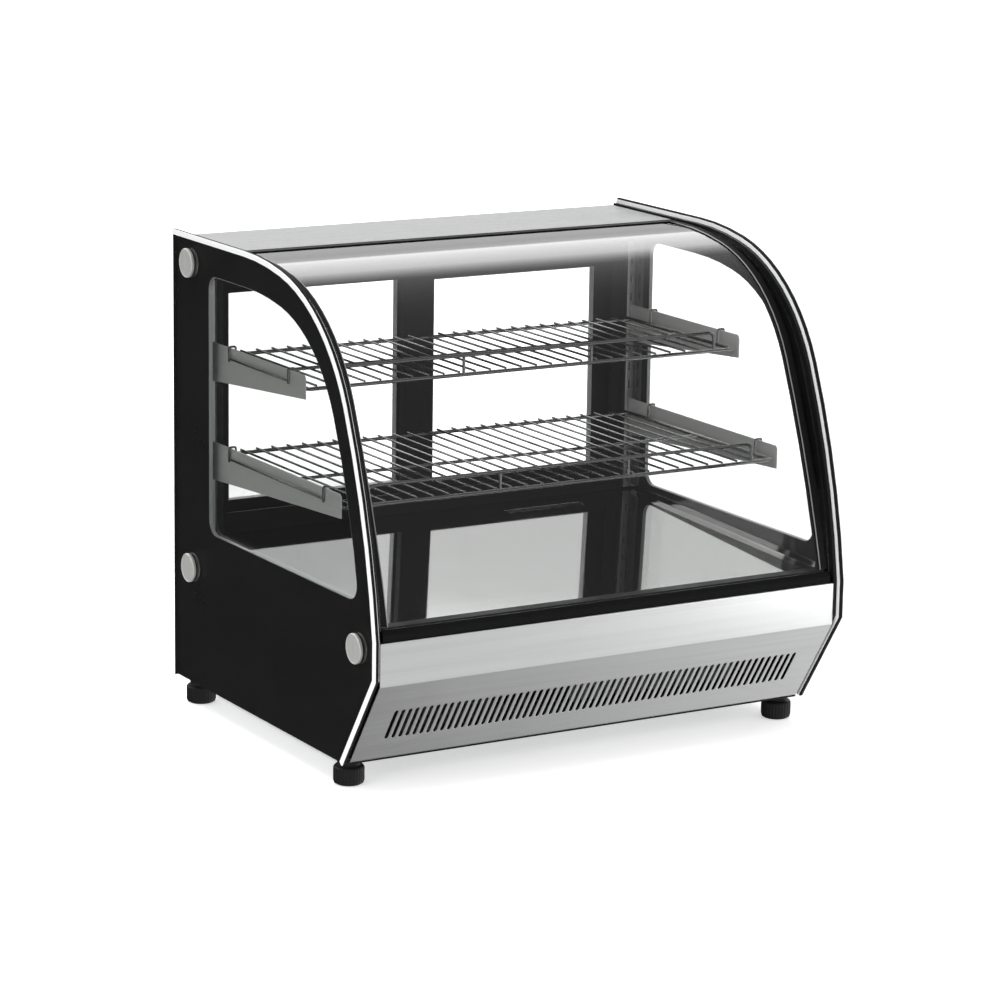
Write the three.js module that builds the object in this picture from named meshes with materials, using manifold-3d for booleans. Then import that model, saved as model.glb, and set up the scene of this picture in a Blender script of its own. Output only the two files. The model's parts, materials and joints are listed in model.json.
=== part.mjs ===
// Countertop refrigerated bakery display case with curved front glass.
// Millimetres, +Z up, +X to the right seen from the customer's side, +Y to the service side.
// The origin is on the counter, under the middle of the case.
import * as THREE from 'three';
import { mergeVertices } from 'three/addons/utils/BufferGeometryUtils.js';
import Module from 'manifold-3d';

const wasm = await Module();
wasm.setup();

// ---- driving dimensions -------------------------------------------------
const GAP = 0.3;                 // clearance between pieces that touch
const WIDTH = 702;               // over the outer faces of the side glass
const DEPTH = 570;               // front of the edge trim to the back edge of the side glass
const BODY_HEIGHT = 611;         // side glass, bottom edge to top edge
const BASE_HEIGHT = 188;         // bottom edge of the body to the front edge of the deck
const FOOT_HEIGHT = 33;
const FOOT_DIAMETER = 40;
const FOOT_STUD = 8;
const FOOT_INSET_SIDE = 25;      // foot centre from the side face
const FOOT_INSET_REAR = 34;
const FOOT_INSET_FRONT = 112;
const SHEET = 1.5;               // folded sheet metal

// side outline: a fascia edge with two knees, then a crown of three tangent arcs
const KNEE_DROP = 10;            // upper knee, below the deck
const KNEE_LOW = 128;            // lower knee, above the bottom edge
const TOE_SETBACK = 85;          // bottom front corner, behind the front of the trim
const CROWN_ARC_TOP = 500;
const CROWN_ARC_MID = 250;
const CROWN_LEAN = [12, 66, 82.7];
const CROWN_STEPS = [3, 10, 5];

// side unit, from outside to inside: trim lip, outer pane, frame plate, inner pane
const LIP = 1.5;
const PANE = 4;
const FRAME_PLATE = 5.5;
const TRIM_INNER_LIP = 1.2;
const TRIM_WIDTH = 7;            // how far the trim's lips cover the glass
const TRIM_GROOVE = 2.5;         // depth of the groove that holds the rubber insert
const TRIM_WEB = 1.5;
const INNER_LIP_SETBACK = 2;
const WINDOW_BORDER = 48;
const WINDOW_REAR = 98;
const WINDOW_RISE = 28;          // lower edge of the window, above the deck
const WINDOW_RADIUS = 20;
const CAP_DIAMETER = 39;
const CAP_HEIGHT = 3.2;
const CAP_STUD = 10;
const CAP_EDGE = { top: 48, rear: 50, front: 51 };   // from the rear, the rear and the front
const CAP_DROP = 39;             // top cap, below the top edge
const CAP_LOW = 28;              // rear and front caps, below the deck
const REAR_LIP = 2;              // frame plate's lip over the rear edge of the pane
const LINER_REAR = 29;           // inner pane, from the rear edge

// curved front glass
const GLASS = 6;
const GLASS_SETBACK = 17;
const GLASS_SINK = 4;            // foot of the glass, below the deck
const GLASS_DROP = 11;           // its flat top, below the top of the side glass
const GLASS_ARC_MID = 228;
const GLASS_LEAN = [12, 66, 76];
const SEAL_WIDTH = 11.8;
const SEAL_OVER = 1.5;           // seal lip over each face of the glass
const GLASS_BITE = 8;            // glass edge inside the seal
const GLASS_FLAT = 31.7;         // flat top of the glass, behind its curve

// fascia, deck and base
const FASCIA_SETBACK = 8;
const FASCIA_DROP = 14;          // top of the fascia, below the deck
const KINK_DROP = 9.5;           // kink of the fascia, below the lower knee
const FASCIA_FOOT = 1.5;
const SLOT_PITCH = 10;
const SLOT_MARGIN = 39;          // middle of the last slot, from the end of the fascia
const SLOT_WIDTH = 5;
const SLOT_LENGTH = 54;
const SLOT_LOW = 38;             // lower end of the slots, up the slope from the bottom edge
const SILL_BACK = 43;            // back of the glass sill, behind the front of the trim
const SILL_RISE = 1;             // top of the sill, above the deck
const DECK_SLOPE = 2;            // degrees, down to the front
const DECK_FLANGE = 8;

// rear frame with two sliding doors
const FRAME_REAR = 6;
const FRAME_SKIN = 3;
const FRAME_POST = 33.4;
const FRAME_RISE = 2;            // foot of the frame, above the front of the deck
const OPENING_RISE = 44;         // lower edge of its opening, above the front of the deck
const HEADER_DROP = 13;          // top of the header, below the top edge of the side glass
const HEADER_HEIGHT = 68;
const DOOR_THICK = 12;
const DOOR_STILE = 46;
const DOOR_OVERLAP = 46;
const DOOR_BITE = 12;            // door, above the lower edge of the header
const DOOR_RAIL_LOW = 30;
const DOOR_RAIL_TOP = 18;
const DOOR_SIDE_GAP = 5;
const DOOR_LIFT = 4;             // room over a door in the header
const DOOR_GLASS_BITE = 6;       // glass edge inside the door frame
const DOOR_SETBACK = 16;         // inner door, behind the frame's face
const DOOR_APART = 7.5;          // between the two doors
const DOOR_BEHIND = 8.5;         // outer door to the back of the frame
const PULL_INSET = 15;            // finger pull, from the inner edge of the stile
const PULL_HALF = 8;
const PULL_LENGTH = 100;
const TRACK_RISE = 6;            // track, above the foot of the frame
const TRACK_HEIGHT = 19;
const TRACK_GROOVE = 5;
const TRACK_CLEAR = 1;

// shelves and their supports
const STANDARD_WIDTH = 13;
const STANDARD_DEPTH = 7.7;
const STANDARD_PITCH = 25;
const STANDARD_RISE = 30;        // above the lower edge of the header
const STANDARD_SLOT = [3, 10, 5];
const BRACKET_THICK = 2;
const SHELVES = [
  { name: 'upper', rise: 282, clear: 103, drop: 53 },
  { name: 'lower', rise: 148, clear: 60.9, drop: 52 },
];                               // bracket top above the deck, its nose behind the glass, its depth
const BRACKET_NOSE = 31;
const SHELF_DROP = 19;           // shelf wires below the top edge of the brackets
const SHELF_WIRES = 28;
const SHELF_WIRE = 3;
const SHELF_FRAME_WIRE = 5;
const RAIL_RISE = 25;
const RAIL_INSET = 31.8;         // ends of the front rail, from the side wires
const SHELF_SIDE = 3;            // side wires, clear of the brackets
const SHELF_REAR = 12;           // rear wire, in front of the brackets' rear edge
const SHELF_FRONT = 4;           // front wire, behind the brackets' front edge
const CROSS_INSET = 10;          // first cross wire, from the side wire
const HOOK_WIRE = 3;
const HOOK_REAR = 51;            // hooks over the brackets, from the rear and front wires
const HOOK_FRONT = 38;
const HOOK_CLEAR = 0.7;          // hook, off the face of the bracket
const RAIL_POSTS = 4;

// refrigeration
const FAN_DIAMETER = 110;
const FAN_HEIGHT = 18;
const FAN_BLADES = 5;
const FAN_TIP_CLEAR = 4;
const FAN_MOTOR_DIAMETER = 42;
const FAN_MOTOR_LENGTH = 35;
const SHROUD_DEPTH = 26;
const SHROUD_WALL = 2;
const SHROUD_PLATE = 3;
const COLD_FAN_DIAMETER = 66;
const COLD_FAN_HEIGHT = 14;
const CONDENSER = { half: 130, depth: 36, height: 132, fins: 14, side: 189.1, front: 165, rise: 84 };
const EVAPORATOR = { half: 100, depth: 40, height: 66, fins: 10 };
const COLD_BOX = { half: 148, front: 105, back: 46, wall: 14, rearWall: 8, rise: 58 };
const COLD_FAN_SIDE = 169.8;     // cold fan, from the right side of the bay and from the rear
const COLD_FAN_REAR = 113;
const DRAIN_DIAMETER = 14;
const COMPRESSOR_DIAMETER = 130;
const COMPRESSOR_SIDE = 159.1;   // from the left side of the base pan and from the rear
const COMPRESSOR_REAR = 175;
const PAD_HEIGHT = 8;

// tray, controls and inlet on the service panel
const TRAY_WALL = 2;
const TRAY_FACE = 3;
const TRAY_OVERLAP = 6;
const BEZEL = 2.5;               // flange of a snap-in part, over the panel
const BEZEL_LAP = 4;             // flange, beyond each side of its box
const CUT_CLEAR = 0.5;           // cut-out in the panel, beyond each side of what passes through
const PANEL_FLANGE = 20;
const PANEL_SETBACK = 7;         // inner face of the panel, from the rear edge
const BUTTON_DIAMETER = 6.2;
const BUTTON_PROUD = 4;
const BUTTON_CLEAR = 0.5;
const BUTTON_ROOM = 3;           // depth behind a button
const ROCKER_TILT = 7;           // degrees
const ROCKER_HALF = 7;

// ---- places worked out from the driving dimensions ----------------------
const FRONT = -DEPTH / 2;
const REAR = DEPTH / 2;
const HALF = WIDTH / 2;
const Z0 = FOOT_HEIGHT;
const TOP = Z0 + BODY_HEIGHT;
const DECK_Z = Z0 + BASE_HEIGHT;
const FASCIA_TOP = DECK_Z - FASCIA_DROP;
const SILL_TOP = DECK_Z + SILL_RISE;
const FRAME_FOOT = DECK_Z + FRAME_RISE;
const TRACK_LOW = FRAME_FOOT + TRACK_RISE;
const TRACK_TOP = TRACK_LOW + TRACK_HEIGHT;
const DOOR_FOOT = TRACK_TOP - TRACK_GROOVE;
const HEADER_TOP = TOP - HEADER_DROP;
const HEADER_LOW = HEADER_TOP - HEADER_HEIGHT;
const DOOR_HEAD = HEADER_LOW + DOOR_BITE;
const FRAME_DEPTH = DOOR_SETBACK + 2 * DOOR_THICK + DOOR_APART + DOOR_BEHIND;
const PANE_OUT = HALF - LIP - GAP;
const PANE_IN = PANE_OUT - PANE;
const PLATE_OUT = PANE_IN - GAP;
const PLATE_IN = PLATE_OUT - FRAME_PLATE;
const LINER_OUT = PLATE_IN - GAP;
const INSIDE = LINER_OUT - PANE;          // clear half width between the inner panes
const BAY = INSIDE - GAP;                 // half width of the pieces between the side units
const TRIM_IN = PLATE_OUT - TRIM_INNER_LIP;
const FRAME_FRONT = REAR - FRAME_REAR - FRAME_DEPTH;
const FRAME_BACK = REAR - FRAME_REAR;
const PAN_HALF = PLATE_IN - GAP;
const PANEL_Y = REAR - PANEL_SETBACK + GAP;
const rad = THREE.MathUtils.degToRad;
const CAP_PLACES = [
  ['top', REAR - CAP_EDGE.top, TOP - CAP_DROP],
  ['rear', REAR - CAP_EDGE.rear, DECK_Z - CAP_LOW],
  ['front', FRONT + CAP_EDGE.front, DECK_Z - CAP_LOW],
];

// ---- materials ----------------------------------------------------------
const paint = (color, roughness, metalness, extra = {}) =>
  new THREE.MeshStandardMaterial({ color, roughness, metalness, ...extra });
const STEEL = paint(0xc4c6c6, 0.35, 1);
const BRIGHT = paint(0xf0f1f2, 0.25, 1);
const CHROME = paint(0xd8dadc, 0.12, 1);
const BLACK_METAL = paint(0x1c1d1c, 0.45, 0.3);
const RUBBER = paint(0x141414, 0.8, 0);
const CLEAR = paint(0xdfe6e6, 0.05, 0, { transparent: true, opacity: 0.25 });
const PLASTIC = paint(0x202122, 0.5, 0);
const ALUMINIUM = paint(0xb9bcbe, 0.4, 1);
const WHITE = paint(0xf2f2ee, 0.5, 0);
const FOAM = paint(0xe9e6da, 0.7, 0);

// ---- geometry helpers ---------------------------------------------------
function toSolid(geometry) {
  const bare = geometry.index ? geometry.toNonIndexed() : geometry.clone();
  for (const key of Object.keys(bare.attributes)) {
    if (key !== 'position') bare.deleteAttribute(key);
  }
  const merged = mergeVertices(bare, 1e-4);
  return new wasm.Manifold(new wasm.Mesh({
    numProp: 3,
    vertProperties: new Float32Array(merged.attributes.position.array),
    triVerts: new Uint32Array(merged.index.array),
  }));
}

function toGeometry(solid) {
  const data = solid.getMesh();
  const geometry = new THREE.BufferGeometry();
  geometry.setAttribute('position', new THREE.BufferAttribute(data.vertProperties, 3));
  geometry.setIndex(new THREE.BufferAttribute(data.triVerts, 1));
  geometry.computeVertexNormals();
  return geometry;
}

const joinAll = (solids) => solids.reduce((whole, piece) => whole.add(piece));

function block(x0, x1, y0, y1, z0, z1) {
  const geometry = new THREE.BoxGeometry(x1 - x0, y1 - y0, z1 - z0);
  geometry.translate((x0 + x1) / 2, (y0 + y1) / 2, (z0 + z1) / 2);
  return toSolid(geometry);
}

function extrude(points, length, basis) {
  const shape = new THREE.Shape(points.map(([u, v]) => new THREE.Vector2(u, v)));
  const geometry = new THREE.ExtrudeGeometry(shape, { depth: length, bevelEnabled: false });
  geometry.applyMatrix4(new THREE.Matrix4().makeBasis(...basis));
  return geometry;
}

const AX = new THREE.Vector3(1, 0, 0);
const AY = new THREE.Vector3(0, 1, 0);
const AZ = new THREE.Vector3(0, 0, 1);

// outline in (y, z), from x0 to x1
function prismX(points, x0, x1) {
  return toSolid(extrude(points, x1 - x0, [AY, AZ, AX]).translate(x0, 0, 0));
}

// outline in (x, z), from y0 to y1
function prismY(points, y0, y1) {
  return toSolid(extrude(points, y1 - y0, [AX, AZ, AY.clone().negate()]).translate(0, y1, 0));
}

// outline in (x, y), from z0 to z1
function prismZ(points, z0, z1) {
  return toSolid(extrude(points, z1 - z0, [AX, AY, AZ]).translate(0, 0, z0));
}

// cylinder between two points
function rod(from, to, radius, sides) {
  const a = new THREE.Vector3(...from);
  const b = new THREE.Vector3(...to);
  const geometry = new THREE.CylinderGeometry(radius, radius, a.distanceTo(b), sides);
  const turn = new THREE.Quaternion().setFromUnitVectors(AY, b.clone().sub(a).normalize());
  geometry.applyQuaternion(turn);
  const middle = a.add(b).multiplyScalar(0.5);
  return toSolid(geometry.translate(middle.x, middle.y, middle.z));
}

// profile in (radius, height) turned about Z
function turned(profile, sides) {
  const points = profile.map(([r, h]) => new THREE.Vector2(r, h));
  return toSolid(new THREE.LatheGeometry(points, sides).rotateX(Math.PI / 2));
}

// open path moved to its left by distance, with mitred corners
function offsetPath(path, distance) {
  return path.map((point, i) => {
    const before = path[Math.max(i - 1, 0)];
    const after = path[Math.min(i + 1, path.length - 1)];
    const here = i === 0 ? before : point;
    const next = i === path.length - 1 ? after : point;
    const d0 = unit(sub(here, i === 0 ? path[0] : before));
    const d1 = unit(sub(after, next));
    const a = i === 0 ? d1 : d0;
    const b = i === path.length - 1 ? d0 : d1;
    const n0 = [-a[1], a[0]];
    const n1 = [-b[1], b[0]];
    const k = distance / (1 + n0[0] * n1[0] + n0[1] * n1[1]);
    return [point[0] + (n0[0] + n1[0]) * k, point[1] + (n0[1] + n1[1]) * k];
  });
}
const sub = (a, b) => [a[0] - b[0], a[1] - b[1]];
function unit(v) {
  const length = Math.hypot(v[0], v[1]) || 1;
  return [v[0] / length, v[1] / length];
}

const band = (path, d0, d1) => [...offsetPath(path, d0), ...offsetPath(path, d1).reverse()];

// three tangent arcs that fall by drop: their radii, and how far forward they reach
function crownArcs(drop, arcTop, arcMid, lean) {
  const [a1, a2, a3] = lean.map(rad);
  const used = arcTop * (1 - Math.cos(a1)) + arcMid * (Math.cos(a1) - Math.cos(a2));
  const arcLow = (drop - used) / (Math.cos(a2) - Math.cos(a3));
  const reach = arcTop * Math.sin(a1) + arcMid * (Math.sin(a2) - Math.sin(a1))
    + arcLow * (Math.sin(a3) - Math.sin(a2));
  return { arcs: [[arcTop, a1], [arcMid, a2], [arcLow, a3]], reach };
}

// crown that runs from rearY, forward and down through the arcs to [endY, endZ]
function crown(rearY, topZ, endY, { arcs, reach }, steps) {
  const path = [[rearY, topZ], [endY + reach, topZ]];
  let from = 0;
  arcs.forEach(([radius, to], arc) => {
    const [y, z] = path[path.length - 1];
    for (let i = 1; i <= steps[arc]; i += 1) {
      const angle = from + (to - from) * i / steps[arc];
      path.push([
        y - radius * (Math.sin(angle) - Math.sin(from)),
        z - radius * (Math.cos(from) - Math.cos(angle)),
      ]);
    }
    from = to;
  });
  return path;
}

// closed anticlockwise outline grown by radius, with its sharp corners turned into arcs
function growRounded(points, radius, steps = 5) {
  const out = [];
  points.forEach((point, i) => {
    const before = unit(sub(point, points[(i + points.length - 1) % points.length]));
    const after = unit(sub(points[(i + 1) % points.length], point));
    const n0 = [before[1], -before[0]];
    const n1 = [after[1], -after[0]];
    const turn = Math.atan2(n0[0] * n1[1] - n0[1] * n1[0], n0[0] * n1[0] + n0[1] * n1[1]);
    const count = turn > rad(15) ? steps : 0;
    if (count === 0) {
      const k = radius / (1 + n0[0] * n1[0] + n0[1] * n1[1]);
      out.push([point[0] + (n0[0] + n1[0]) * k, point[1] + (n0[1] + n1[1]) * k]);
      return;
    }
    for (let j = 0; j <= count; j += 1) {
      const t = turn * j / count;
      out.push([
        point[0] + radius * (n0[0] * Math.cos(t) - n0[1] * Math.sin(t)),
        point[1] + radius * (n0[0] * Math.sin(t) + n0[1] * Math.cos(t)),
      ]);
    }
  });
  return out;
}

const group = new THREE.Group();
function part(name, solid, material) {
  const mesh = new THREE.Mesh(toGeometry(solid), material);
  mesh.name = name;
  group.add(mesh);
}

// solid for the right-hand side, and its mirror image for the left
function pair(name, solid, material) {
  part(`${name}_right`, solid, material);
  part(`${name}_left`, solid.mirror([1, 0, 0]), material);
}

// ---- outlines -----------------------------------------------------------
const sideArcs = crownArcs(TOP - DECK_Z + KNEE_DROP, CROWN_ARC_TOP, CROWN_ARC_MID, CROWN_LEAN);
const sidePath = crown(REAR, TOP, FRONT, sideArcs, CROWN_STEPS);
sidePath.push([FRONT, Z0 + KNEE_LOW]);
sidePath.push([FRONT + TOE_SETBACK, Z0]);

const glassTop = TOP - GLASS_DROP;
const glassArcs = crownArcs(glassTop - DECK_Z + GLASS_SINK, CROWN_ARC_TOP, GLASS_ARC_MID, GLASS_LEAN);
const glassFront = FRONT + GLASS_SETBACK;
const glassRear = glassFront + glassArcs.reach + GLASS_FLAT;
const glassPath = crown(glassRear, glassTop, glassFront, glassArcs, CROWN_STEPS);
const jointY = glassRear + SEAL_WIDTH - GLASS_BITE;    // joint of the glass's seal and the top panel

// y of the inside of the glass seal at height z
function glassFace(z) {
  const path = offsetPath(glassPath, GLASS + SEAL_OVER);
  const index = path.findIndex((p) => p[1] <= z);
  const [a, b] = [path[index - 1], path[index]];
  return a[0] + (b[0] - a[0]) * (a[1] - z) / (a[1] - b[1]);
}

// the side outline moved in by distance, closed along the bottom and the rear
function sideOutline(distance) {
  const path = offsetPath(sidePath, distance);
  const end = path[path.length - 1];
  const before = path[path.length - 2];
  const t = (Z0 - end[1]) / (end[1] - before[1]);
  path.push([end[0] + (end[0] - before[0]) * t, Z0]);
  path.push([REAR, Z0]);
  return path;
}

// clear window in the side frame, inside its border
function windowOutline() {
  const low = DECK_Z + WINDOW_RISE + WINDOW_RADIUS;
  const rear = REAR - WINDOW_REAR - WINDOW_RADIUS;
  const path = offsetPath(sidePath, WINDOW_BORDER + WINDOW_RADIUS);
  const index = path.findIndex((p) => p[1] <= low);
  const [a, b] = [path[index - 1], path[index]];
  const t = (a[1] - low) / (a[1] - b[1]);
  const outline = path.slice(0, index).filter((p) => p[0] < rear - 1 && p[1] > low + 1);
  return growRounded([
    [rear, low], [rear, path[0][1]], ...outline, [a[0] + (b[0] - a[0]) * t, low],
  ], WINDOW_RADIUS);
}

// ---- side units ---------------------------------------------------------
function buildSides() {
  const studHoles = (radius, x0, x1) => joinAll(CAP_PLACES.map(([, y, z]) =>
    rod([x0, y, z], [x1, y, z], radius, 16)));
  const holes = studHoles(CAP_STUD / 2 + 1, PLATE_IN - 1, HALF + 1);
  const window = prismX(windowOutline(), PLATE_IN - 1, HALF + 1);

  const pane = prismX(sideOutline(TRIM_GROOVE + TRIM_WEB + GAP), PANE_IN, PANE_OUT);
  const lipRoom = block(PANE_IN - 1, PANE_OUT + 1, REAR - REAR_LIP - GAP, REAR + 1, Z0 - 1, TOP);
  pair('side_glass', pane.subtract(holes).subtract(lipRoom), CLEAR);

  const plate = prismX(sideOutline(TRIM_WIDTH + GAP), PLATE_IN, PLATE_OUT);
  const rearLip = block(PLATE_OUT - 1, PANE_OUT, REAR - REAR_LIP, REAR, Z0, TOP - TRIM_WIDTH - GAP);
  pair('side_frame', plate.add(rearLip).subtract(window).subtract(holes), BLACK_METAL);

  const liner = sideOutline(TRIM_WIDTH + GAP + 5);
  const clip = block(INSIDE - 1, LINER_OUT + 1, FRONT, REAR - LINER_REAR, DECK_Z, TOP);
  const innerHole = studHoles(CAP_STUD, INSIDE - 1, LINER_OUT + 1);
  pair('inner_glass', prismX(liner, INSIDE, LINER_OUT).intersect(clip).subtract(innerHole), CLEAR);

  const lip = prismX(band(sidePath, 0, TRIM_WIDTH), HALF - LIP, HALF);
  const web = prismX(band(sidePath, TRIM_GROOVE, TRIM_GROOVE + TRIM_WEB), TRIM_IN + 0.2, HALF - 0.2);
  const inner = prismX(band(sidePath, INNER_LIP_SETBACK, TRIM_WIDTH), TRIM_IN, PLATE_OUT);
  pair('edge_trim', lip.add(web).add(inner), BRIGHT);

  const insert = prismX(band(sidePath, 0, TRIM_GROOVE - GAP), PANE_IN, PANE_OUT);
  pair('trim_insert', insert, RUBBER);

  CAP_PLACES.forEach(([place, y, z]) => {
    const r = CAP_DIAMETER / 2;
    const face = HALF + GAP;
    const seat = HALF - LIP;
    const disc = [
      [0, PLATE_IN + 1], [CAP_STUD / 2, PLATE_IN + 1], [CAP_STUD / 2, seat], [r, seat],
      [r, face + CAP_HEIGHT - 1], [r - 1, face + CAP_HEIGHT], [0, face + CAP_HEIGHT],
    ];
    const cap = turned(disc, 24).rotate([0, 90, 0]).translate([0, y, z]);
    pair(`cap_${place}`, cap, STEEL);
  });
}

// ---- front glass, its seal and sill, top panel --------------------------
function extendedPath(path, extra) {
  const end = path[path.length - 1];
  const along = unit(sub(end, path[path.length - 2]));
  return [...path.slice(0, -1), [end[0] + along[0] * extra, end[1] + along[1] * extra]];
}

function buildFront() {
  const glassHalf = BAY - SEAL_WIDTH + GLASS_BITE;
  part('front_glass', prismX(band(glassPath, 0, GLASS), -glassHalf, glassHalf), CLEAR);

  const sealFoot = SILL_TOP + 3;
  const sealPath = glassPath.filter((p) => p[1] > sealFoot + 3);
  const low = sealPath[sealPath.length - 1];
  const next = glassPath[sealPath.length];
  const t = (low[1] - sealFoot) / (low[1] - next[1]);
  sealPath.push([low[0] + (next[0] - low[0]) * t, sealFoot]);
  const frame = [[jointY - GAP, sealPath[0][1]], ...sealPath.slice(1)];
  const outer = prismX(band(frame, -SEAL_OVER, GLASS + SEAL_OVER), -BAY, BAY);
  const openHalf = BAY - SEAL_WIDTH;
  const opening = block(-openHalf, openHalf, FRONT - 5, jointY - GAP - SEAL_WIDTH, Z0, TOP + 5);
  const slotHalf = glassHalf + GAP;
  const slotPath = [[glassPath[0][0] + GAP, glassPath[0][1]], ...extendedPath(glassPath, 4).slice(1)];
  const slot = prismX(band(slotPath, -GAP, GLASS + GAP), -slotHalf, slotHalf);
  part('glass_seal', outer.subtract(opening).subtract(slot), RUBBER);

  const sill = [
    [FRONT + FASCIA_SETBACK + SHEET + GAP, FASCIA_TOP + GAP],
    [FRONT + SILL_BACK, FASCIA_TOP + GAP],
    [FRONT + SILL_BACK, SILL_TOP],
    [FRONT + FASCIA_SETBACK + SHEET + 5, SILL_TOP],
    [FRONT + FASCIA_SETBACK + SHEET + GAP, SILL_TOP - 5],
  ];
  const groove = prismX(band(extendedPath(glassPath, GAP), -GAP, GLASS + GAP), -BAY - 1, BAY + 1);
  part('glass_sill', prismX(sill, -BAY, BAY).subtract(groove), BLACK_METAL);

  const top = TOP - GLASS_DROP + 2;
  const back = FRAME_BACK + GAP + SHEET;
  const panel = [
    [jointY, top], [jointY, top - SHEET - 10], [jointY + SHEET, top - SHEET - 10],
    [jointY + SHEET, top - SHEET], [back - SHEET, top - SHEET], [back - SHEET, top - 28],
    [back, top - 28], [back, top],
  ];
  part('top_panel', prismX(panel, -BAY, BAY), STEEL);
}

// ---- fascia, deck and base pan ------------------------------------------
function fasciaOutline() {
  const y = FRONT + FASCIA_SETBACK;
  const slope = unit([TOE_SETBACK, -KNEE_LOW]);
  const kink = KNEE_LOW - KINK_DROP;
  const length = (kink - FASCIA_FOOT) / -slope[1];
  const foot = [y + slope[0] * length, Z0 + FASCIA_FOOT];
  const path = [
    [FRONT + SILL_BACK - 6, FASCIA_TOP], [y, FASCIA_TOP], [y, Z0 + kink],
    foot, [foot[0] + 12, foot[1]],
  ];
  return { outline: band(path, 0, SHEET), kink: path[2], slope, length };
}

function buildFascia() {
  const { outline, kink, slope, length } = fasciaOutline();
  const sheet = prismX(outline, -PAN_HALF, PAN_HALF);
  const middle = length - SLOT_LOW - SLOT_LENGTH / 2;
  const r = SLOT_WIDTH / 2;
  const straight = SLOT_LENGTH / 2 - r;
  const shape = [];
  for (const end of [0, 1]) {
    for (let i = 0; i <= 2; i += 1) {
      const a = Math.PI * (end + i / 2);
      shape.push([r * Math.cos(a), (end ? -straight : straight) + r * Math.sin(a)]);
    }
  }
  const cutters = [];
  const side = Math.floor((PAN_HALF - SLOT_MARGIN) / SLOT_PITCH);
  for (let i = -side; i <= side; i += 1) {
    const x = i * SLOT_PITCH;
    const geometry = extrude(shape.map(([u, v]) => [u + x, v]), 8, [AX, AY, AZ]).translate(0, 0, -4);
    geometry.rotateX(Math.atan2(-slope[1], -slope[0]));
    geometry.translate(0, kink[0] + slope[0] * middle, kink[1] + slope[1] * middle);
    cutters.push(toSolid(geometry));
  }
  const slots = wasm.Manifold.union(cutters);
  part('front_fascia', sheet.subtract(slots), STEEL);
}

const deckTop = (y) => DECK_Z + (y - FRONT - SILL_BACK) * Math.tan(rad(DECK_SLOPE));

function buildDeck() {
  const y0 = FRONT + SILL_BACK + GAP;
  const y1 = FRAME_FRONT - GAP;
  const sheet = [
    [y0, deckTop(y0)], [y0, deckTop(y0) - 12], [y0 + SHEET, deckTop(y0) - 12],
    [y0 + SHEET, deckTop(y0) - SHEET], [y1, deckTop(y1) - SHEET], [y1, deckTop(y1)],
  ];
  const edge = [
    [y0, deckTop(y0) - 0.5], [y1, deckTop(y1) - 0.5],
    [y1, deckTop(y1) + DECK_FLANGE], [y0, deckTop(y0) + DECK_FLANGE],
  ];
  let deck = prismX(sheet, -BAY, BAY);
  deck = deck.add(prismX(edge, BAY - SHEET, BAY)).add(prismX(edge, -BAY, -BAY + SHEET));
  const notch = block(BAY - STANDARD_WIDTH - 2, BAY + 1, y1 - STANDARD_DEPTH - 2, y1 + 1, Z0, TOP);
  const air = block(COLD_X - 60, COLD_X + 60, COLD_FAN_Y - 7, COLD_FAN_Y + 7, Z0, TOP);
  part('deck', deck.subtract(notch).subtract(notch.mirror([1, 0, 0])).subtract(air), STEEL);
}

const PAN_FRONT = FRONT + TOE_SETBACK + 18;
const PAN_BACK = REAR - PANEL_SETBACK;

function buildBase() {
  const z = Z0;
  const flange = 25;
  const tub = [
    [-PAN_HALF, z], [PAN_HALF, z], [PAN_HALF, z + flange], [PAN_HALF - SHEET, z + flange],
    [PAN_HALF - SHEET, z + SHEET], [-PAN_HALF + SHEET, z + SHEET], [-PAN_HALF + SHEET, z + flange],
    [-PAN_HALF, z + flange],
  ];
  const hole = FOOT_STUD / 2 + CUT_CLEAR;
  const studs = joinAll(FOOT_PLACES.map(([x, y]) => rod([x, y, z - 2], [x, y, z + 4], hole, 12)));
  part('base_pan', prismY(tub, PAN_FRONT, PAN_BACK).subtract(studs), STEEL);
}

const FOOT_PLACES = [
  [-HALF + FOOT_INSET_SIDE, FRONT + FOOT_INSET_FRONT], [HALF - FOOT_INSET_SIDE, FRONT + FOOT_INSET_FRONT],
  [-HALF + FOOT_INSET_SIDE, REAR - FOOT_INSET_REAR], [HALF - FOOT_INSET_SIDE, REAR - FOOT_INSET_REAR],
];

function buildFeet() {
  const r = FOOT_DIAMETER / 2;
  const top = Z0 - GAP;
  const profile = [
    [0, 0], [r - 5, 0], [r - 1.5, 1.5], [r, 5], [r, top - 2], [r - 2, top],
    [FOOT_STUD / 2, top], [FOOT_STUD / 2, top + 9], [0, top + 9],
  ];
  const names = ['front_left', 'front_right', 'rear_left', 'rear_right'];
  names.forEach((name, i) => {
    const [x, y] = FOOT_PLACES[i];
    part(`foot_${name}`, turned(profile, 20).translate([x, y, 0]), RUBBER);
  });
}

// ---- rear frame, track and sliding doors --------------------------------
const trackY = (i) => FRAME_FRONT + DOOR_SETBACK + DOOR_THICK / 2 + i * (DOOR_THICK + DOOR_APART);

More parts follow.
